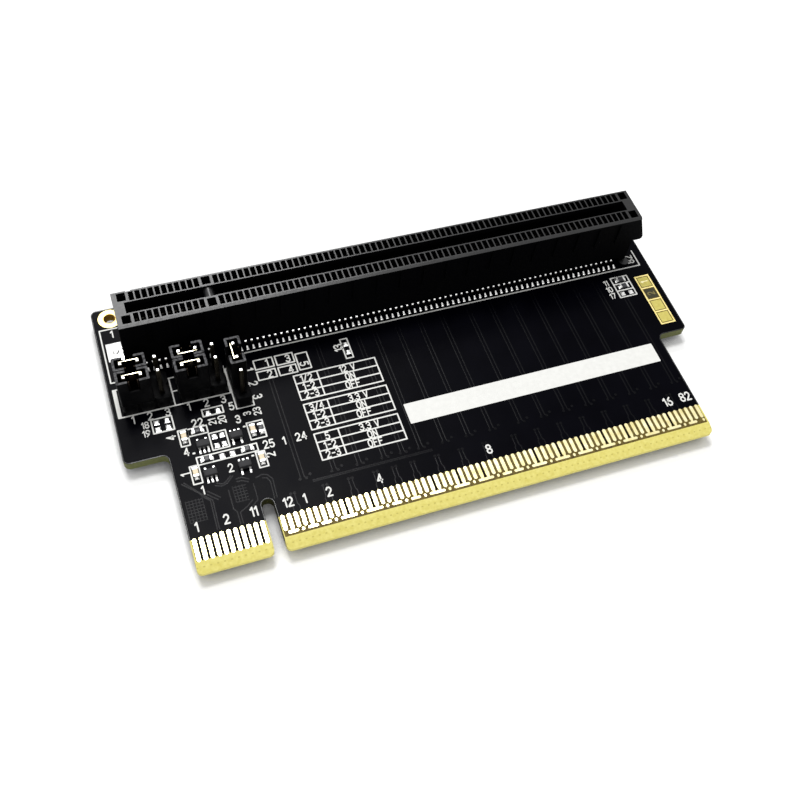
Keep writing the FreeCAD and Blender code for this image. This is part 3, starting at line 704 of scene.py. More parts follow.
# %% One bent contact
NEAR = 0.01
CONTACT_X = -0.33
STRIP_W, STRIP_T = 0.3, 0.16
FOOT_Z = 0.1
# Distance from the slot's middle and height above the board, from bend to bend.
BENDS = ((3.74, 0.1), (3.26, 0.12), (2.98, 0.44), (2.15, 0.44), (1.85, 0.8), (1.75, 3.6), (0.78, 8.6),
         (0.78, 8.8), (0.9, 9.0))
TOE = 4.5


def contact_strip(name):
    """One contact of the front row at the first place, distances measured from the slot's middle."""
    fresh()
    heel = BENDS[0][0]
    bpy.ops.mesh.primitive_plane_add(size=1, location=card(CONTACT_X, SLOT_Y - (TOE + heel) / 2, FOOT_Z))
    strip = bpy.context.object
    strip.scale = (STRIP_W * MM, (TOE - heel) * MM, 1)
    bpy.ops.object.transform_apply()
    strip.name = name
    pick(strip, "EDGE", lambda middle, edge: abs(middle.y - (SLOT_Y - heel)) < NEAR)
    for (near, low), (far, high) in zip(BENDS, BENDS[1:]):
        step = MM * Vector((0, near - far, high - low))
        bpy.ops.mesh.extrude_edges_move(TRANSFORM_OT_translate={"value": step})
    bpy.ops.mesh.select_all(action="SELECT")
    bpy.ops.mesh.normals_make_consistent(inside=False)
    fresh()
    return strip


def with_modifier(piece, kind, **settings):
    """Add a modifier, set it and apply it."""
    activate(piece)
    made = piece.modifiers.new(kind.title(), kind)
    for name, value in settings.items():
        setattr(made, name, value)
    bpy.ops.object.modifier_apply(modifier=made.name)
    return piece


strip = with_modifier(contact_strip("contact"), "SOLIDIFY", thickness=STRIP_T * MM, offset=0.0)
print("one contact:", len(strip.data.polygons), "faces")

# %% Both rows of contacts
def row_of(pattern, name):
    """The pattern set out at every contact place on both sides of the key."""
    after = copies(pattern, [(0, 0, 0), (finger_x(FIRST_GROUP + 1), 0, 0)])
    for piece, count in zip(after, (FIRST_GROUP, COUNT - FIRST_GROUP)):
        with_modifier(piece, "ARRAY", count=count, use_relative_offset=False, use_constant_offset=True,
                      constant_offset_displace=(PITCH * MM, 0, 0))
    return join(name, after)


def mirrored(piece, name):
    """A copy on the other side of the slot's middle line."""
    twin = placed(piece, Matrix.Identity(4))
    twin.name = name
    pick(twin, "VERT", lambda middle, part: True)
    bpy.ops.transform.resize(value=(1, -1, 1), center_override=card(0, SLOT_Y))
    bpy.ops.mesh.normals_make_consistent(inside=False)
    fresh()
    return twin


front_row = row_of(strip, "bent_contacts_front")
rear_row = mirrored(front_row, "bent_contacts_rear")
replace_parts(keep(front_row, strip_shade_and_glint), "slot_contacts_front")
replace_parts(keep(rear_row, strip_shade_and_glint), "slot_contacts_rear")

# %% [markdown]
# ## Solder at the feet
#
# Each contact foot sits in a small pillow of solder, wide round its toe and drawn narrow towards the
# heel. A cube with its top and its rear pulled in, its front edge lowered and its edges bevelled gives
# that in a few dozen faces. The ends of the small parts and the chips' leads get their own.

# %% Solder pillows
EDGE_SHARE = 0.3


def pillow(name, low, high, shrink=0.6, rear=1.0, lean=0.0):
    """A low mound of solder between two corners, smaller on top, narrower at its rear, lower in front."""
    mound = block(name, low, high)
    half_way, foot = (low[1] + high[1]) / 2, low[2] + NEAR
    top = card((low[0] + high[0]) / 2, half_way, high[2])
    pick(mound, "FACE", lambda middle, face: face.normal.y > FACING)
    bpy.ops.transform.resize(value=(rear, 1, 1), center_override=top)
    pick(mound, "FACE", lambda middle, face: face.normal.z > FACING)
    bpy.ops.transform.resize(value=(shrink, shrink, 1), center_override=top)
    pick(mound, "VERT", lambda middle, part: middle.z > foot and middle.y < half_way)
    bpy.ops.transform.translate(value=(0, 0, -lean * MM))
    pick(mound, "EDGE", lambda middle, edge: middle.z > foot)
    bpy.ops.mesh.bevel(offset=EDGE_SHARE * (high[2] - low[2] - lean) * MM, segments=1)
    fresh()
    return mound


PAD_HALF, PAD_FROM, PAD_TO, PAD_TOP = 0.23, 4.66, 3.96, 0.36
PAD_SHRINK, PAD_REAR, PAD_LEAN = 0.85, 0.5, 0.26
pad = pillow("pillow", (CONTACT_X - PAD_HALF, SLOT_Y - PAD_FROM, -SINK),
             (CONTACT_X + PAD_HALF, SLOT_Y - PAD_TO, PAD_TOP), PAD_SHRINK, PAD_REAR, PAD_LEAN)
front_pads = row_of(pad, "foot_solder_front")
keep(mirrored(front_pads, "foot_solder_rear"), solder)
keep(front_pads, solder)

# %% Solder round the small parts
PARTS_ALONG_Y = ((2.63, 10.2), (12.64, 9.95), (12.6, 15.15), (2.3, 16.75), (13.9, 15.2))
PARTS_ALONG_X = ((4.5, 17.4), (4.75, 12.2), (11.0, 12.2), (82.45, 27.35), (82.45, 25.9))
PART_HALF, FILLET, FILLET_HALF, FILLET_LAP = 0.775, 0.28, 0.38, 0.05
FILLET_TOP_Y, FILLET_TOP_X = 0.24, 0.2
CHIPS = ((4.76, 9.52, -1), (4.75, 14.7, -1), (9.93, 9.5, 1), (9.9, 14.85, 1))
LEAD_PITCH, LEAD_END = 0.65, 1.15
TOE_LOW, TOE_HIGH, TOE_OUT = (-0.2, -0.12, -SINK), (0.2, 0.24, 0.1), 0.06
fillet = pillow("fillet", (-FILLET_HALF, PART_HALF - FILLET_LAP, -SINK),
                (FILLET_HALF, PART_HALF + FILLET, FILLET_TOP_Y))
opposite = 2 * PART_HALF + FILLET - FILLET_LAP
fillets = copies(fillet, [(x, y - side * opposite, 0) for x, y in PARTS_ALONG_Y for side in (0, 1)])
fillet = pillow("fillet", (PART_HALF - FILLET_LAP, -FILLET_HALF, -SINK),
                (PART_HALF + FILLET, FILLET_HALF, FILLET_TOP_X))
fillets += copies(fillet, [(x - side * opposite, y, 0) for x, y in PARTS_ALONG_X for side in (0, 1)])
toe = pillow("toe", TOE_LOW, TOE_HIGH)
toes = [(x + step * LEAD_PITCH, y + side * (LEAD_END + TOE_OUT) - TOE_OUT, 0)
        for x, y, full in CHIPS for side in (-1, 1)
        for step in ((-1, 0, 1) if side == full else (-1, 1))]
fillets += copies(toe, toes)
keep(join("part_solder", fillets), solder)

# %% [markdown]
# ## Solder under the headers
#
# The header pins pass through the board and are soldered below, where each tail stands in a small cone
# with hollow sides. A cone primitive is bisected near the board and its waist pulled in.

# %% Solder cones
HEADER_PINS = [(x, y) for x in (-4.28, -1.74, 0.80, 4.41, 6.95, 9.49) for y in (24.23, 26.77)]
HEADER_PINS += [(12.6, y) for y in (20.95, 23.49, 26.03)]
CONE_R, CONE_TIP_R, CONE_H = 0.85, 0.46, 0.95
WAIST_Z, WAIST_SHARE = -BOARD_T - 0.35, 0.78
fresh()
bpy.ops.mesh.primitive_cone_add(vertices=16, radius1=CONE_TIP_R * MM, radius2=CONE_R * MM,
                                depth=CONE_H * MM, location=card(0, 0, -BOARD_T - CONE_H / 2))
cone = bpy.context.object
cone.name = "cone"
bpy.ops.object.transform_apply()
pick(cone, "VERT", lambda middle, part: True)
bpy.ops.mesh.bisect(plane_co=card(0, 0, WAIST_Z), plane_no=(0, 0, 1))
pick(cone, "VERT", lambda middle, part: abs(middle.z - WAIST_Z) < NEAR)
bpy.ops.transform.resize(value=(WAIST_SHARE, WAIST_SHARE, 1), center_override=card(0, 0, WAIST_Z))
fresh()
keep(join("tail_solder", copies(cone, [(x, y, 0) for x, y in HEADER_PINS])), solder)

# %% [markdown]
# ## Plated hole and filled tab
#
# The mounting hole is lined with copper and gold, which shows as a warm brown ring inside the bright
# one. An open cylinder becomes that lining with Solidify. The small hole in the hold-down tab drew up
# solder until only a sliver of it stayed open; that plug is a disc with its rim bevelled to a dome.

# %% Plated hole
HOLE_X, HOLE_Y, HOLE_R, PLATE_T = -4.4, 42.1, 1.0, 0.05


def rod(name, place, radius, length, sides, **options):
    """An upright cylinder primitive round a place, all in card millimetres."""
    fresh()
    bpy.ops.mesh.primitive_cylinder_add(vertices=sides, radius=radius * MM, depth=length * MM,
                                        location=card(*place), **options)
    bpy.ops.object.transform_apply()
    bpy.context.object.name = name
    return bpy.context.object


barrel = rod("hole_barrel", (HOLE_X, HOLE_Y, -BOARD_T / 2), HOLE_R, BOARD_T + 2 * COPPER, sides=32,
             end_fill_type="NOTHING")
with_modifier(barrel, "SOLIDIFY", thickness=PLATE_T * MM)
keep(barrel, barrel_plate)

# %% Solder in the tab's hole
PLUG_X, PLUG_Y, PLUG_R, PLUG_TOP, PLUG_ROUND = -4.62, 35.28, 0.42, 0.18, 0.1
plug = rod("tab_solder", (PLUG_X, PLUG_Y, PLUG_TOP / 2), PLUG_R, PLUG_TOP, sides=16)
pick(plug, "EDGE", lambda middle, edge: abs(middle.z - PLUG_TOP) < NEAR)
bpy.ops.mesh.bevel(offset=PLUG_ROUND * MM, segments=3)
fresh()
keep(plug, solder)

# %% [markdown]
# ## Moulded edges
#
# Nothing moulded or fired has a knife edge, and the thin light line along each edge is what the eye
# reads as plastic or ceramic. The small parts are copies of their CAD nodes, merged and cleaned of the
# triangles inside flat faces, with a narrow bevel on every edge that turns by more than 40 degrees. Caps,
# clips, pins and tabs get a second, brighter finish on what looks up: grey painted light over the caps'
# grain, a painted highlight on the clips, the pins' own tin at their tips above sides in painted shade,
# and tin on the tabs' feet.

# %% Softened small parts
FLAT_TURN, SHARP_TURN = radians(1), radians(40)
UPWARD = 0.5


def softened(node, radius, finishes):
    """A copy of a CAD node with every sharp edge rounded, in its place."""
    piece = cad_copy("rounded_" + node, node, finishes)
    bpy.ops.mesh.dissolve_limited(angle_limit=FLAT_TURN)
    with_modifier(piece, "BEVEL", width=radius * MM, segments=2, limit_method="ANGLE",
                  angle_limit=SHARP_TURN)
    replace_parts(keep(piece, None), node)
    return piece


def facing_up(low, high, least=UPWARD):
    """A test for faces that look up between two heights."""
    return lambda middle, face: face.normal.z > least and low < middle.z < high


CAP_FROM, CLIP_FROM, TAB_TO, ABOVE = 8.34, 8.29, 0.3, 9.0
# Name beginning, edge radius, finishes, slot, and where the faces of a second finish look up.
SMALL_PARTS = (
    # Cap tops: the grain, and grey painted light on the faces that look up.
    ("jumper_cap", 0.08, (header_nylon, cap_grain_and_light), "cap_moulding", facing_up(CAP_FROM, ABOVE)),
    # Clips: painted shade on the body, painted highlight on the faces that look up.
    ("jumper_clip", 0.03, (bronze, clip_highlight), "clip_metal", facing_up(CLIP_FROM, ABOVE, 0.95)),
    # Pins: painted shade and streaks on the sides, their own tin on the tips that look up.
    ("header_pins", 0.03, (pin_shade_and_glint, tin), "header_pin_metal", facing_up(CAP_FROM, ABOVE, FACING)),
    ("header_block", 0.06, (header_nylon,), "header_moulding", None),
    ("logic_chip", 0.05, (epoxy,), "chip_moulding", None),
    ("capacitor_", 0.06, (ceramic,), "capacitor_ceramic", None),
    ("resistor_", 0.04, (glaze,), "resistor_glaze", None),
    # Tabs: tin on the foot, near black above it.
    ("hold_down", 0.03, (dark_tab, tin), "tab_metal", facing_up(0, TAB_TO)),
)
for name in sorted(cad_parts):
    for start, radius, finishes, slot, bright in SMALL_PARTS:
        if name.startswith(start) and not name.endswith("terminals"):
            piece = softened(name, radius, finishes)
            if bright:
                paint(piece, 1, bright)

# %% [markdown]
# ## Slot housing
#
# The slot is one moulding, but its flat top comes from the polished half of the mould and catches the
# lamp, while its walls are matt and stay black. The bevelled lip along its front is glossier still. So
# the faces of the copy that look up, and those of the lip, get their own finish.

# %% Slot housing
POLISHED_FROM, TALLEST = 9.7, 12.0
FOOT_LOW, FOOT_HIGH = 0.4, 0.6
WALL_Y, LIP_DEPTH = 31.3, 0.4
housing = cad_copy("moulded_slot", "slot_housing", (slot_nylon, deck_nylon, lip_nylon))
foot_top = facing_up(FOOT_LOW, FOOT_HIGH, FACING)
paint(housing, 1, facing_up(POLISHED_FROM, TALLEST))
paint(housing, 2, lambda middle, face: (UPWARD < face.normal.z < FACING
                                        and middle.y < WALL_Y + LIP_DEPTH))
paint(housing, 1, lambda middle, face: middle.y < WALL_Y and foot_top(middle, face))
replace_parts(keep(housing, None), "slot_housing")

# %% [markdown]
# ## Raised traces
#
# Copper tracks lie under the mask and lift it into low ridges, light on the side that looks at a lamp
# and dark on the other. Each of the sixteen lanes has a pair from its fingers to two vias and a second
# pair from there to the slot. A few single tracks serve the small chips, and two patches of copper are
# hatched. One ridge a millimetre long is a cube with its top drawn in; each straight run of a track is a
# copy of it, stretched and turned.

# %% One ridge
TRACK_W, TRACK_SLOPE = 0.25, 0.041
RIDGE_ROOT, RIDGE_CROWN, STAGGER = 0.3, 0.2, 0.05
unit_ridge = block("ridge", (-0.5, -0.5, -RIDGE_ROOT), (0.5, 0.5, 1))
pick(unit_ridge, "FACE", lambda middle, face: face.normal.z > FACING)
bpy.ops.transform.resize(value=(1, RIDGE_CROWN, 1), center_override=card(0, 0, 1))
fresh()


def on_card(x, y, turn, size):
    """The matrix that takes a shape modelled at the card's origin to its place, turn and size."""
    return (Matrix.Translation(card(x, y)) @ Matrix.Rotation(turn, 4, "Z") @ Matrix.Diagonal((*size, 1))
            @ Matrix.Translation(-ORIGIN))


def ridges(points, width=TRACK_W):
    """One ridge for each straight run of a track, every other one a trace higher."""
    made = []
    for index, (a, b) in enumerate(zip(points, points[1:])):
        rise = TRACK_SLOPE * width * (1 + STAGGER * (index % 2))
        size = (hypot(b[0] - a[0], b[1] - a[1]) + width / 2, width, rise)
        turn = atan2(b[1] - a[1], b[0] - a[0])
        made.append(placed(unit_ridge, on_card((a[0] + b[0]) / 2, (a[1] + b[1]) / 2, turn, size)))
    return made


print("one ridge:", len(unit_ridge.data.polygons), "faces")

# %% Lane tracks
LANES = [n for n in range(1, COUNT + 1)
         if any(g[-1] == n - 1 for g in GROUND_GROUPS) and any(g[0] == n + 2 for g in GROUND_GROUPS)]
LOW_VIA_Y, HIGH_VIA_Y, LANE_SHIFT, FEET_Y = 3.0, 4.95, 2.2, 29.6
PAIR_WIDE, PAIR_CLOSE = 0.5, 0.3
LANE_FROM, LANE_BEND, LANE_CLOSE, VIA_BEND = 0.1, 0.9, 1.3, 0.4


def lane_tracks(lane):
    """The two pairs of one lane, given its first finger."""
    middle = finger_x(lane) + PITCH / 2
    high = middle + LANE_SHIFT
    made = []
    for side in (-1, 1):
        wide, close = PAIR_WIDE * side, PAIR_CLOSE * side
        made += ridges(((middle + wide, LANE_FROM), (middle + wide, LANE_BEND),
                        (middle + close, LANE_CLOSE), (middle + close, LOW_VIA_Y)))
        made += ridges(((high + wide, HIGH_VIA_Y), (high + close, HIGH_VIA_Y + VIA_BEND),
                        (high + close, FEET_Y)))
    return made


tracks = [run for lane in LANES for run in lane_tracks(lane)]
print("lanes:", len(LANES), "runs:", len(tracks))

# %% Chip tracks and hatching
CHIP_TRACKS = (
    ((11.0, 7.07), (11.94, 7.39), (12.73, 7.15), (13.36, 6.28), (13.2, 3.1)),
    ((11.95, 6.79), (12.59, 6.61), (12.92, 5.92), (12.8, 3.0)),
    ((4.88, 7.52), (5.79, 7.15), (6.68, 7.37), (7.78, 8.41)),
    ((5.25, 7.8), (5.96, 7.49), (6.49, 7.62), (7.47, 8.51)),
    ((0.25, 9.08), (2.4, 6.95), (2.75, 6.23), (3.69, 5.29), (3.58, 0.5)),
    ((0.6, 9.2), (3.21, 6.09), (4.02, 5.28), (3.89, 0.5)),
    ((3.58, 6.94), (5.21, 5.41)), ((3.45, 6.4), (4.81, 5.14)),
    ((8.12, 7.73), (8.97, 7.77), (9.93, 7.19)), ((8.08, 7.25), (8.84, 7.22), (9.74, 6.76)),
    ((7.0, 0.4), (7.0, 2.4), (6.6, 3.0), (6.6, 6.2)), ((7.4, 0.4), (7.4, 2.2), (8.56, 2.8), (9.6, 3.63)),
    ((9.35, 2.66), (10.4, 3.52), (10.4, 6.2)),
    ((19.06, 4.3), (38.2, 4.3)), ((19.06, 4.05), (38.2, 4.05)),
)
LATTICES = ((0.1, 2.45, 2.6, 6.1), (7.25, 3.9, 9.2, 6.6))
LATTICE_PITCH, LATTICE_W = 0.5, 0.16
for points in CHIP_TRACKS:
    tracks += ridges(points)
for left, low_y, right, high_y in LATTICES:
    for rung in range(int((high_y - low_y) / LATTICE_PITCH) + 1):
        y = low_y + rung * LATTICE_PITCH
        tracks += ridges(((left, y), (right, y)), LATTICE_W)
    for post in range(int((right - left) / LATTICE_PITCH) + 1):
        x = left + post * LATTICE_PITCH
        tracks += ridges(((x, low_y), (x, high_y)), LATTICE_W)
keep(join("mask_tracks", tracks), ridge)

# %% [markdown]
# ## Bead of lacquer
#
# Lacquer draws back from a cut edge while it dries and leaves a bead along the outline, seen as a fine
# light line. The same ridge is laid along every edge where the masked top meets the routed side, so the
# bead follows the board's own corners.

# %% Bead of lacquer along the outline
BEAD_W, BEAD_T, BEAD_IN, BEAD_LAP = 0.18, 0.05, 0.11, 0.02
RING_REACH, PIN_REACH = 0.2, 0.9
HOLES = [(HOLE_X, HOLE_Y, HOLE_R + RING_REACH)] + [(x, y, PIN_REACH) for x, y in HEADER_PINS]


def outline_edge(middle, edge):
    """True for an edge where the masked top meets the routed outline, away from the holes."""
    turned = sorted(round(face.normal.z) for face in edge.link_faces)
    in_hole = any(hypot(middle.x - x, middle.y - y) < reach for x, y, reach in HOLES)
    return abs(middle.z) < NEAR and middle.y > MASK_END and turned == [0, 1] and not in_hole


pick(board, "EDGE", outline_edge)
beads = []
for edge in bmesh.from_edit_mesh(board.data).edges:
    if edge.select:
        wall = next(face for face in edge.link_faces if abs(face.normal.z) < STEEP)
        (ax, ay, _), (bx, by, _) = [(v.co - ORIGIN) / MM - wall.normal * BEAD_IN for v in edge.verts]
        beads.append(((ax + bx) / 2, (ay + by) / 2, atan2(by - ay, bx - ax), hypot(bx - ax, by - ay)))
fresh()
beads = [placed(unit_ridge, on_card(x, y, turn, (run + BEAD_LAP, BEAD_W,
                                                 BEAD_T * (1 + STAGGER * (index % 2)))))
         for index, (x, y, turn, run) in enumerate(beads)]
bpy.data.objects.remove(unit_ridge)
keep(join("lacquer_bead", beads), bead)

# %% [markdown]
# ## Vias
#
# A via is a plated hole that takes a track to another layer. Under the mask it shows as a low ring with
# a dimple: a flat cylinder whose top is inset twice, the second time downwards.

# %% Vias
VIA_R, VIA_T, VIA_MIDDLE = 0.24, 0.05, 0.02
VIA_RING, VIA_RIM, VIA_DIP = 0.09, 0.04, 0.03
GROUND_VIA_X, GROUND_VIA_Y = 1.2, 0.5
via = rod("via", (0, 0, VIA_MIDDLE), VIA_R, VIA_T, sides=10)
pick(via, "FACE", lambda middle, face: face.normal.z > FACING)
bpy.ops.mesh.inset(thickness=VIA_RING * MM)
bpy.ops.mesh.inset(thickness=VIA_RIM * MM, depth=-VIA_DIP * MM)
fresh()
via_places = []
for lane in LANES:
    middle = finger_x(lane) + PITCH / 2
    high = middle + LANE_SHIFT
    via_places += [(middle + PAIR_CLOSE * side, LOW_VIA_Y, 0) for side in (-1, 1)]
    via_places += [(high + PAIR_WIDE * side, HIGH_VIA_Y, 0) for side in (-1, 1)]
    via_places.append((high + GROUND_VIA_X, HIGH_VIA_Y + GROUND_VIA_Y, 0))
keep(join("tented_vias", copies(via, via_places)), ridge)

# %% [markdown]
# ## White legend
#
# The legend is screen printed in white ink: boxes round the parts, small tables, a solid field, and plain
# numbers for pins, parts and lanes. A printed line is a thin strip with round ends. The figures are drawn
# the same way, as a plotter draws them: each is a few strokes in a cell one millimetre high, modelled
# once, and every printed number is made of copies in its own size and turn.

# %% Printed strokes
INK_T, OVERLAP, END_SHARE = 0.032, 0.002, 0.45


def stroke(start, end, width, rise):
    """A thin straight strip from one point of the board to another, half its width past both."""
    run = hypot(end[0] - start[0], end[1] - start[1]) + width
    x, y = (start[0] + end[0]) / 2, (start[1] + end[1]) / 2
    return block("stroke", (x - run / 2, y - width / 2, -SINK), (x + run / 2, y + width / 2, rise),
                 atan2(end[1] - start[1], end[0] - start[0]))


def strokes(points, width, lift=0.0):
    """One strip for each run of a bent line, every other one a trace higher where they overlap."""
    return [stroke(a, b, width, INK_T + lift + OVERLAP * (index % 2))
            for index, (a, b) in enumerate(zip(points, points[1:]))]


def rounded_join(name, strips, width):
    """Strips made one mesh with round ends."""
    piece = join(name, strips)
    pick(piece, "EDGE", upright)
    bpy.ops.mesh.bevel(offset=END_SHARE * width * MM, segments=2)
    fresh()
    return piece


print("ink", INK_T, "mm thick")

# %% Legend lines
LINE_W = 0.23
BOXES = (
    (1.6, 15.3, 2.95, 18.2), (1.95, 8.5, 3.3, 11.6), (12.0, 8.55, 13.36, 11.3), (11.95, 13.6, 14.4, 16.7),
    (2.96, 16.75, 6.0, 18.06), (5.93, 19.64, 9.13, 20.93), (-1.88, 18.7, 1.28, 21.23),
    (5.99, 13.43, 8.57, 16.48), (3.28, 11.52, 12.54, 12.86), (80.85, 23.7, 84.07, 28.1),
    (30.56, 24.2, 31.76, 28.1), (15.85, 25.95, 18.9, 27.75), (19.4, 25.9, 22.3, 27.75),
    (15.85, 23.85, 18.85, 25.45), (19.35, 23.85, 22.25, 25.4), (22.68, 24.05, 24.6, 27.25),
    (-6.4, 22.85, 2.3, 28.1), (11.2, 19.65, 14.0, 27.45),
)
TABLES = ((21.3, 18.42, 35.0, 23.18), (21.35, 12.75, 35.1, 17.55), (21.4, 7.15, 35.1, 11.92))
TABLE_COLUMN = 3.87
LINES = (
    ((80.85, 25.17), (84.07, 25.17)), ((80.85, 26.63), (84.07, 26.63)),
    ((-3.6, 40.0), (-6.4, 40.0), (-6.4, 29.54), (-5.77, 29.54)),
    ((87.6, 33.1), (87.6, 29.65), (14.6, 29.65)),
    ((2.3, 22.85), (11.0, 22.85), (11.0, 28.1), (2.3, 28.1)), ((2.3, 25.5), (3.1, 25.5)),
)
DOTS = ((3.13, 13.71), (11.52, 16.22), (11.48, 10.88))
DOT_RUN, DOT_W = 0.08, 0.3
THICK_LINE, THICK_W = ((-6.2, 23.1), (-6.2, 27.85)), 0.6
legend = []
for index, (left, low_y, right, high_y) in enumerate(BOXES + TABLES):
    corners = ((left, low_y), (right, low_y), (right, high_y), (left, high_y), (left, low_y))
    legend += strokes(corners, LINE_W, OVERLAP / 2 * (index % 2))
for left, low_y, right, high_y in TABLES:
    column = left + TABLE_COLUMN
    legend.append(stroke((column, low_y), (column, high_y), LINE_W, INK_T - OVERLAP))
    for row in (1, 2):
        y = low_y + row * (high_y - low_y) / 3
        legend.append(stroke((left, y), (right, y), LINE_W, INK_T + 2 * OVERLAP))
for points in LINES:
    legend += strokes(points, LINE_W)
for x, y in DOTS:
    legend.append(stroke((x - DOT_RUN, y), (x + DOT_RUN, y), DOT_W, INK_T))
legend.append(stroke(*THICK_LINE, THICK_W, INK_T + 3 * OVERLAP))
legend_lines = rounded_join("legend_lines", legend, LINE_W)
keep(legend_lines, ink)

# %% Figures
# Points are hundredths of the cell's height, and a bar starts another stroke.
FIGURES = {
    "0": "0,22 0,78 17,100 43,100 60,78 60,22 43,0 17,0 0,22",
    "1": "0,78 24,100 24,0",
    "2": "2,80 17,100 43,100 58,80 55,58 0,0 60,0",
    "3": "3,85 17,100 43,100 57,82 55,63 40,53 22,53|40,53 58,38 58,18 43,0 17,0 0,15",
    "4": "45,0 45,100 0,30 60,30",
    "5": "55,100 8,100 4,56 38,62 58,44 58,20 42,0 15,0 0,14",
    "6": "50,100 20,75 0,40 0,18 17,0 43,0 60,18 60,38 43,56 17,56 2,40",
    "7": "0,100 60,100 20,0",
    "8": "17,53 3,68 3,85 17,100 43,100 57,85 57,68 43,53 17,53 0,35 0,17 17,0 43,0 60,17 60,35 43,53",
    "9": "10,0 40,25 60,60 60,82 43,100 17,100 0,82 0,62 17,44 43,44 58,60",
    "-": "8,50 48,50", "/": "0,0 50,100", ".": "0,0 4,0",
    "V": "0,100 30,0 60,100", "N": "0,0 0,100 60,0 60,100", "F": "60,100 0,100 0,0|0,52 46,52",
}
FIGURES["O"] = FIGURES["0"]
FIGURE_W, FIGURE_GAP, SPACE_W, FIGURE_SLIM, HALF_CELL = 0.19, 0.27, 0.3, 0.85, 0.5
figure_shapes, figure_widths = {}, {" ": SPACE_W}
for sign, path in FIGURES.items():
    runs = [[[int(c) / 100 for c in point.split(",")] for point in run.split()] for run in path.split("|")]
    drawn = [strip for run in runs for strip in strokes(run, FIGURE_W)]
    figure_shapes[sign] = rounded_join("figure", drawn, FIGURE_W)
    figure_widths[sign] = max(x for run in runs for x, y in run)


def number(text, x, y, height, turn=0):
    """Plain figures printed on the board, centred on a point and turned by degrees."""
    made = []
    spread = sum(figure_widths[sign] for sign in text) + FIGURE_GAP * (len(text) - 1)
    along = -spread / 2
    for sign in text:
        if sign in figure_shapes:
            start = Matrix.Translation(MM * Vector((along, -HALF_CELL, 0)))
            place = on_card(x, y, radians(turn), (FIGURE_SLIM * height, height, 1))
            made.append(placed(figure_shapes[sign], place @ start))
        along += figure_widths[sign] + FIGURE_GAP
    return made


print("figures:", "".join(figure_shapes))

# %% Number places
PIN_FIGURE, PART_FIGURE, CLOSE_FIGURE = 1.3, 1.28, 1.05
EDGE_FIGURE, TABLE_FIGURE = 1.42, 1.15
# The height of the figures, then each number's text, place and turn in degrees.
NUMBERS = (
    (PIN_FIGURE, (
        ("1", -4.4, 22.0), ("2", -1.82, 22.0), ("3", 0.9, 22.0), ("1", 4.2, 22.05), ("2", 6.95, 22.05),
        ("3", 9.6, 22.0), ("1", 14.85, 26.35, -90), ("2", 14.8, 23.56, -90), ("3", 14.85, 21.03, -90))),
    (PART_FIGURE, (
        ("4", 0.45, 17.3, 90), ("4", 2.1, 14.26), ("22", 4.8, 18.85), ("3", 10.9, 17.78),
        ("5", 10.5, 20.38), ("25", 14.3, 12.21), ("1", 16.7, 12.1), ("24", 19.4, 12.15),
        ("2", 7.8, 9.76), ("2", 14.1, 10.3, 90), ("1", 1.15, 10.5, 90), ("1", 3.0, 7.25),
        ("13", 29.87, 26.6, 90), ("1", -4.6, 38.91), ("1", 17.9, 26.85), ("3", 21.35, 26.82),
        ("2", 17.85, 24.65), ("4", 21.3, 24.62), ("5", 23.64, 25.1, -90), ("82", 86.3, 31.3, 90))),
    (CLOSE_FIGURE, (
        ("18", -2.85, 20.55), ("19", -2.95, 19.05), ("21", 7.02, 18.4, 90), ("20", 8.55, 18.4, 90),
        ("3", 12.5, 18.4, 90), ("23", 14.1, 18.4, 90), ("11", 79.65, 27.3), ("10", 79.65, 25.85),
        ("17", 79.65, 24.4))),
    (EDGE_FIGURE, (
        ("1", 0.8, 1.66), ("2", 5.2, 1.7), ("11", 9.3, 1.75), ("12", 14.5, 1.8), ("1", 17.0, 1.7),
        ("2", 20.8, 1.75), ("4", 28.75, 1.7), ("8", 46.83, 1.8), ("16", 78.77, 1.8), ("82", 82.07, 1.9))),
)
print("numbers:", sum(len(places) for height, places in NUMBERS))

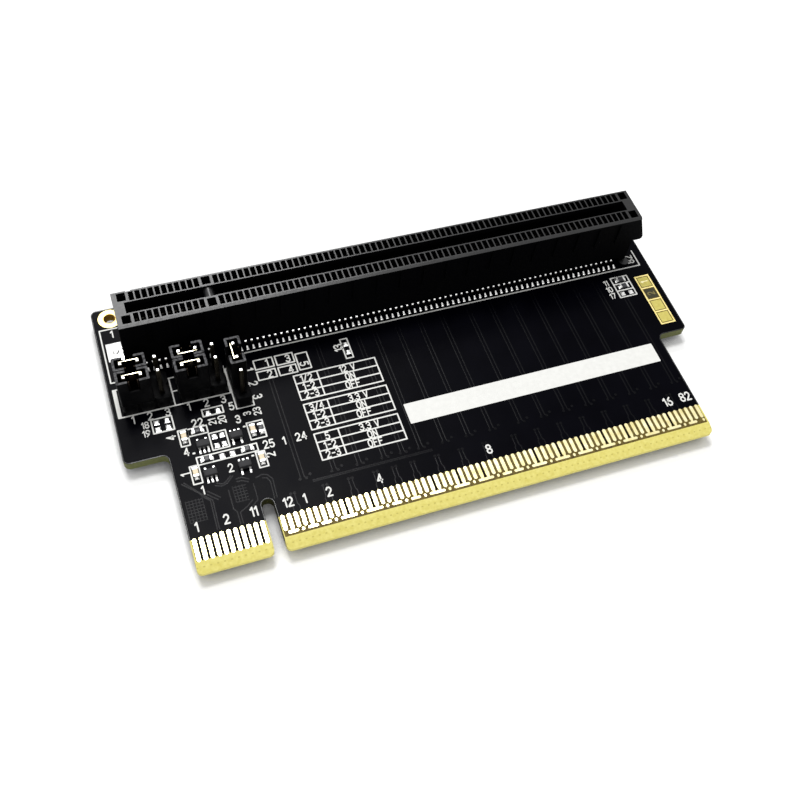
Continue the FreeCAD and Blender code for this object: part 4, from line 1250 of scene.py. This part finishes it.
# %% Legend numbers
TABLE_HEADS = (("1/2", "12 V"), ("3/4", "3.3 V"), ("5", "3.3 V"))
figures = []
for height, places in NUMBERS:
    for text, x, y, *turn in places:
        figures += number(text, x, y, height, *turn)
for (left, low_y, right, high_y), head in zip(TABLES, TABLE_HEADS):
    row = (high_y - low_y) / 3
    for line, pair in enumerate((head, ("1-2", "ON"), ("2-3", "OFF"))):
        y = high_y - (line + 0.5) * row
        figures += number(pair[0], left + TABLE_COLUMN / 2, y, TABLE_FIGURE)
        figures += number(pair[1], (left + TABLE_COLUMN + right) / 2, y, TABLE_FIGURE)
keep(join("legend_numbers", figures), ink)

# %% Solid white field
FIELD_LOW, FIELD_HIGH, FIELD_ROUND = (36.6, 9.52), (81.53, 13.27), 0.12
label = block("label_field", (*FIELD_LOW, -SINK), (*FIELD_HIGH, INK_T))
pick(label, "EDGE", upright)
bpy.ops.mesh.bevel(offset=FIELD_ROUND * MM, segments=3)
fresh()
keep(label, ink)

# %% [markdown]
# ## Layer numbers
#
# The window at the right end lets an inspector see through the bare cloth to each copper layer, and each
# layer carries its own number there. The first is the plated top layer, bright, and the second a dull
# figure deep in the cloth. A narrow dark line runs round each square, inside the frame: partly the
# etched gap, partly painted shade from the frame's edge.

# %% Layer numbers
WINDOW_X, WINDOW_TOP, WINDOW_PITCH = 86.64, 25.85, 2.66
GAP_W, GAP_X, GAP_Y = 0.16, 1.08, 1.12
LAYERS, LAYER_FIGURE = 4, 1.2
for layer, finish in enumerate((gold, window_copper)):
    figure = number(str(layer + 1), WINDOW_X, WINDOW_TOP - layer * WINDOW_PITCH, LAYER_FIGURE, 90)
    keep(join("layer_number_%d" % (layer + 1), figure), finish)
# The etched gap round each square, widened into painted shade from the frame's edge.
gaps = []
for layer in range(LAYERS):
    y = WINDOW_TOP - layer * WINDOW_PITCH
    corners = [(WINDOW_X + side * GAP_X, y + end * GAP_Y)
               for side, end in ((-1, -1), (1, -1), (1, 1), (-1, 1))]
    gaps += strokes(corners + corners[:1], GAP_W)
keep(rounded_join("window_gaps_and_shade", gaps, GAP_W), etched)
for shape in figure_shapes.values():
    bpy.data.objects.remove(shape)
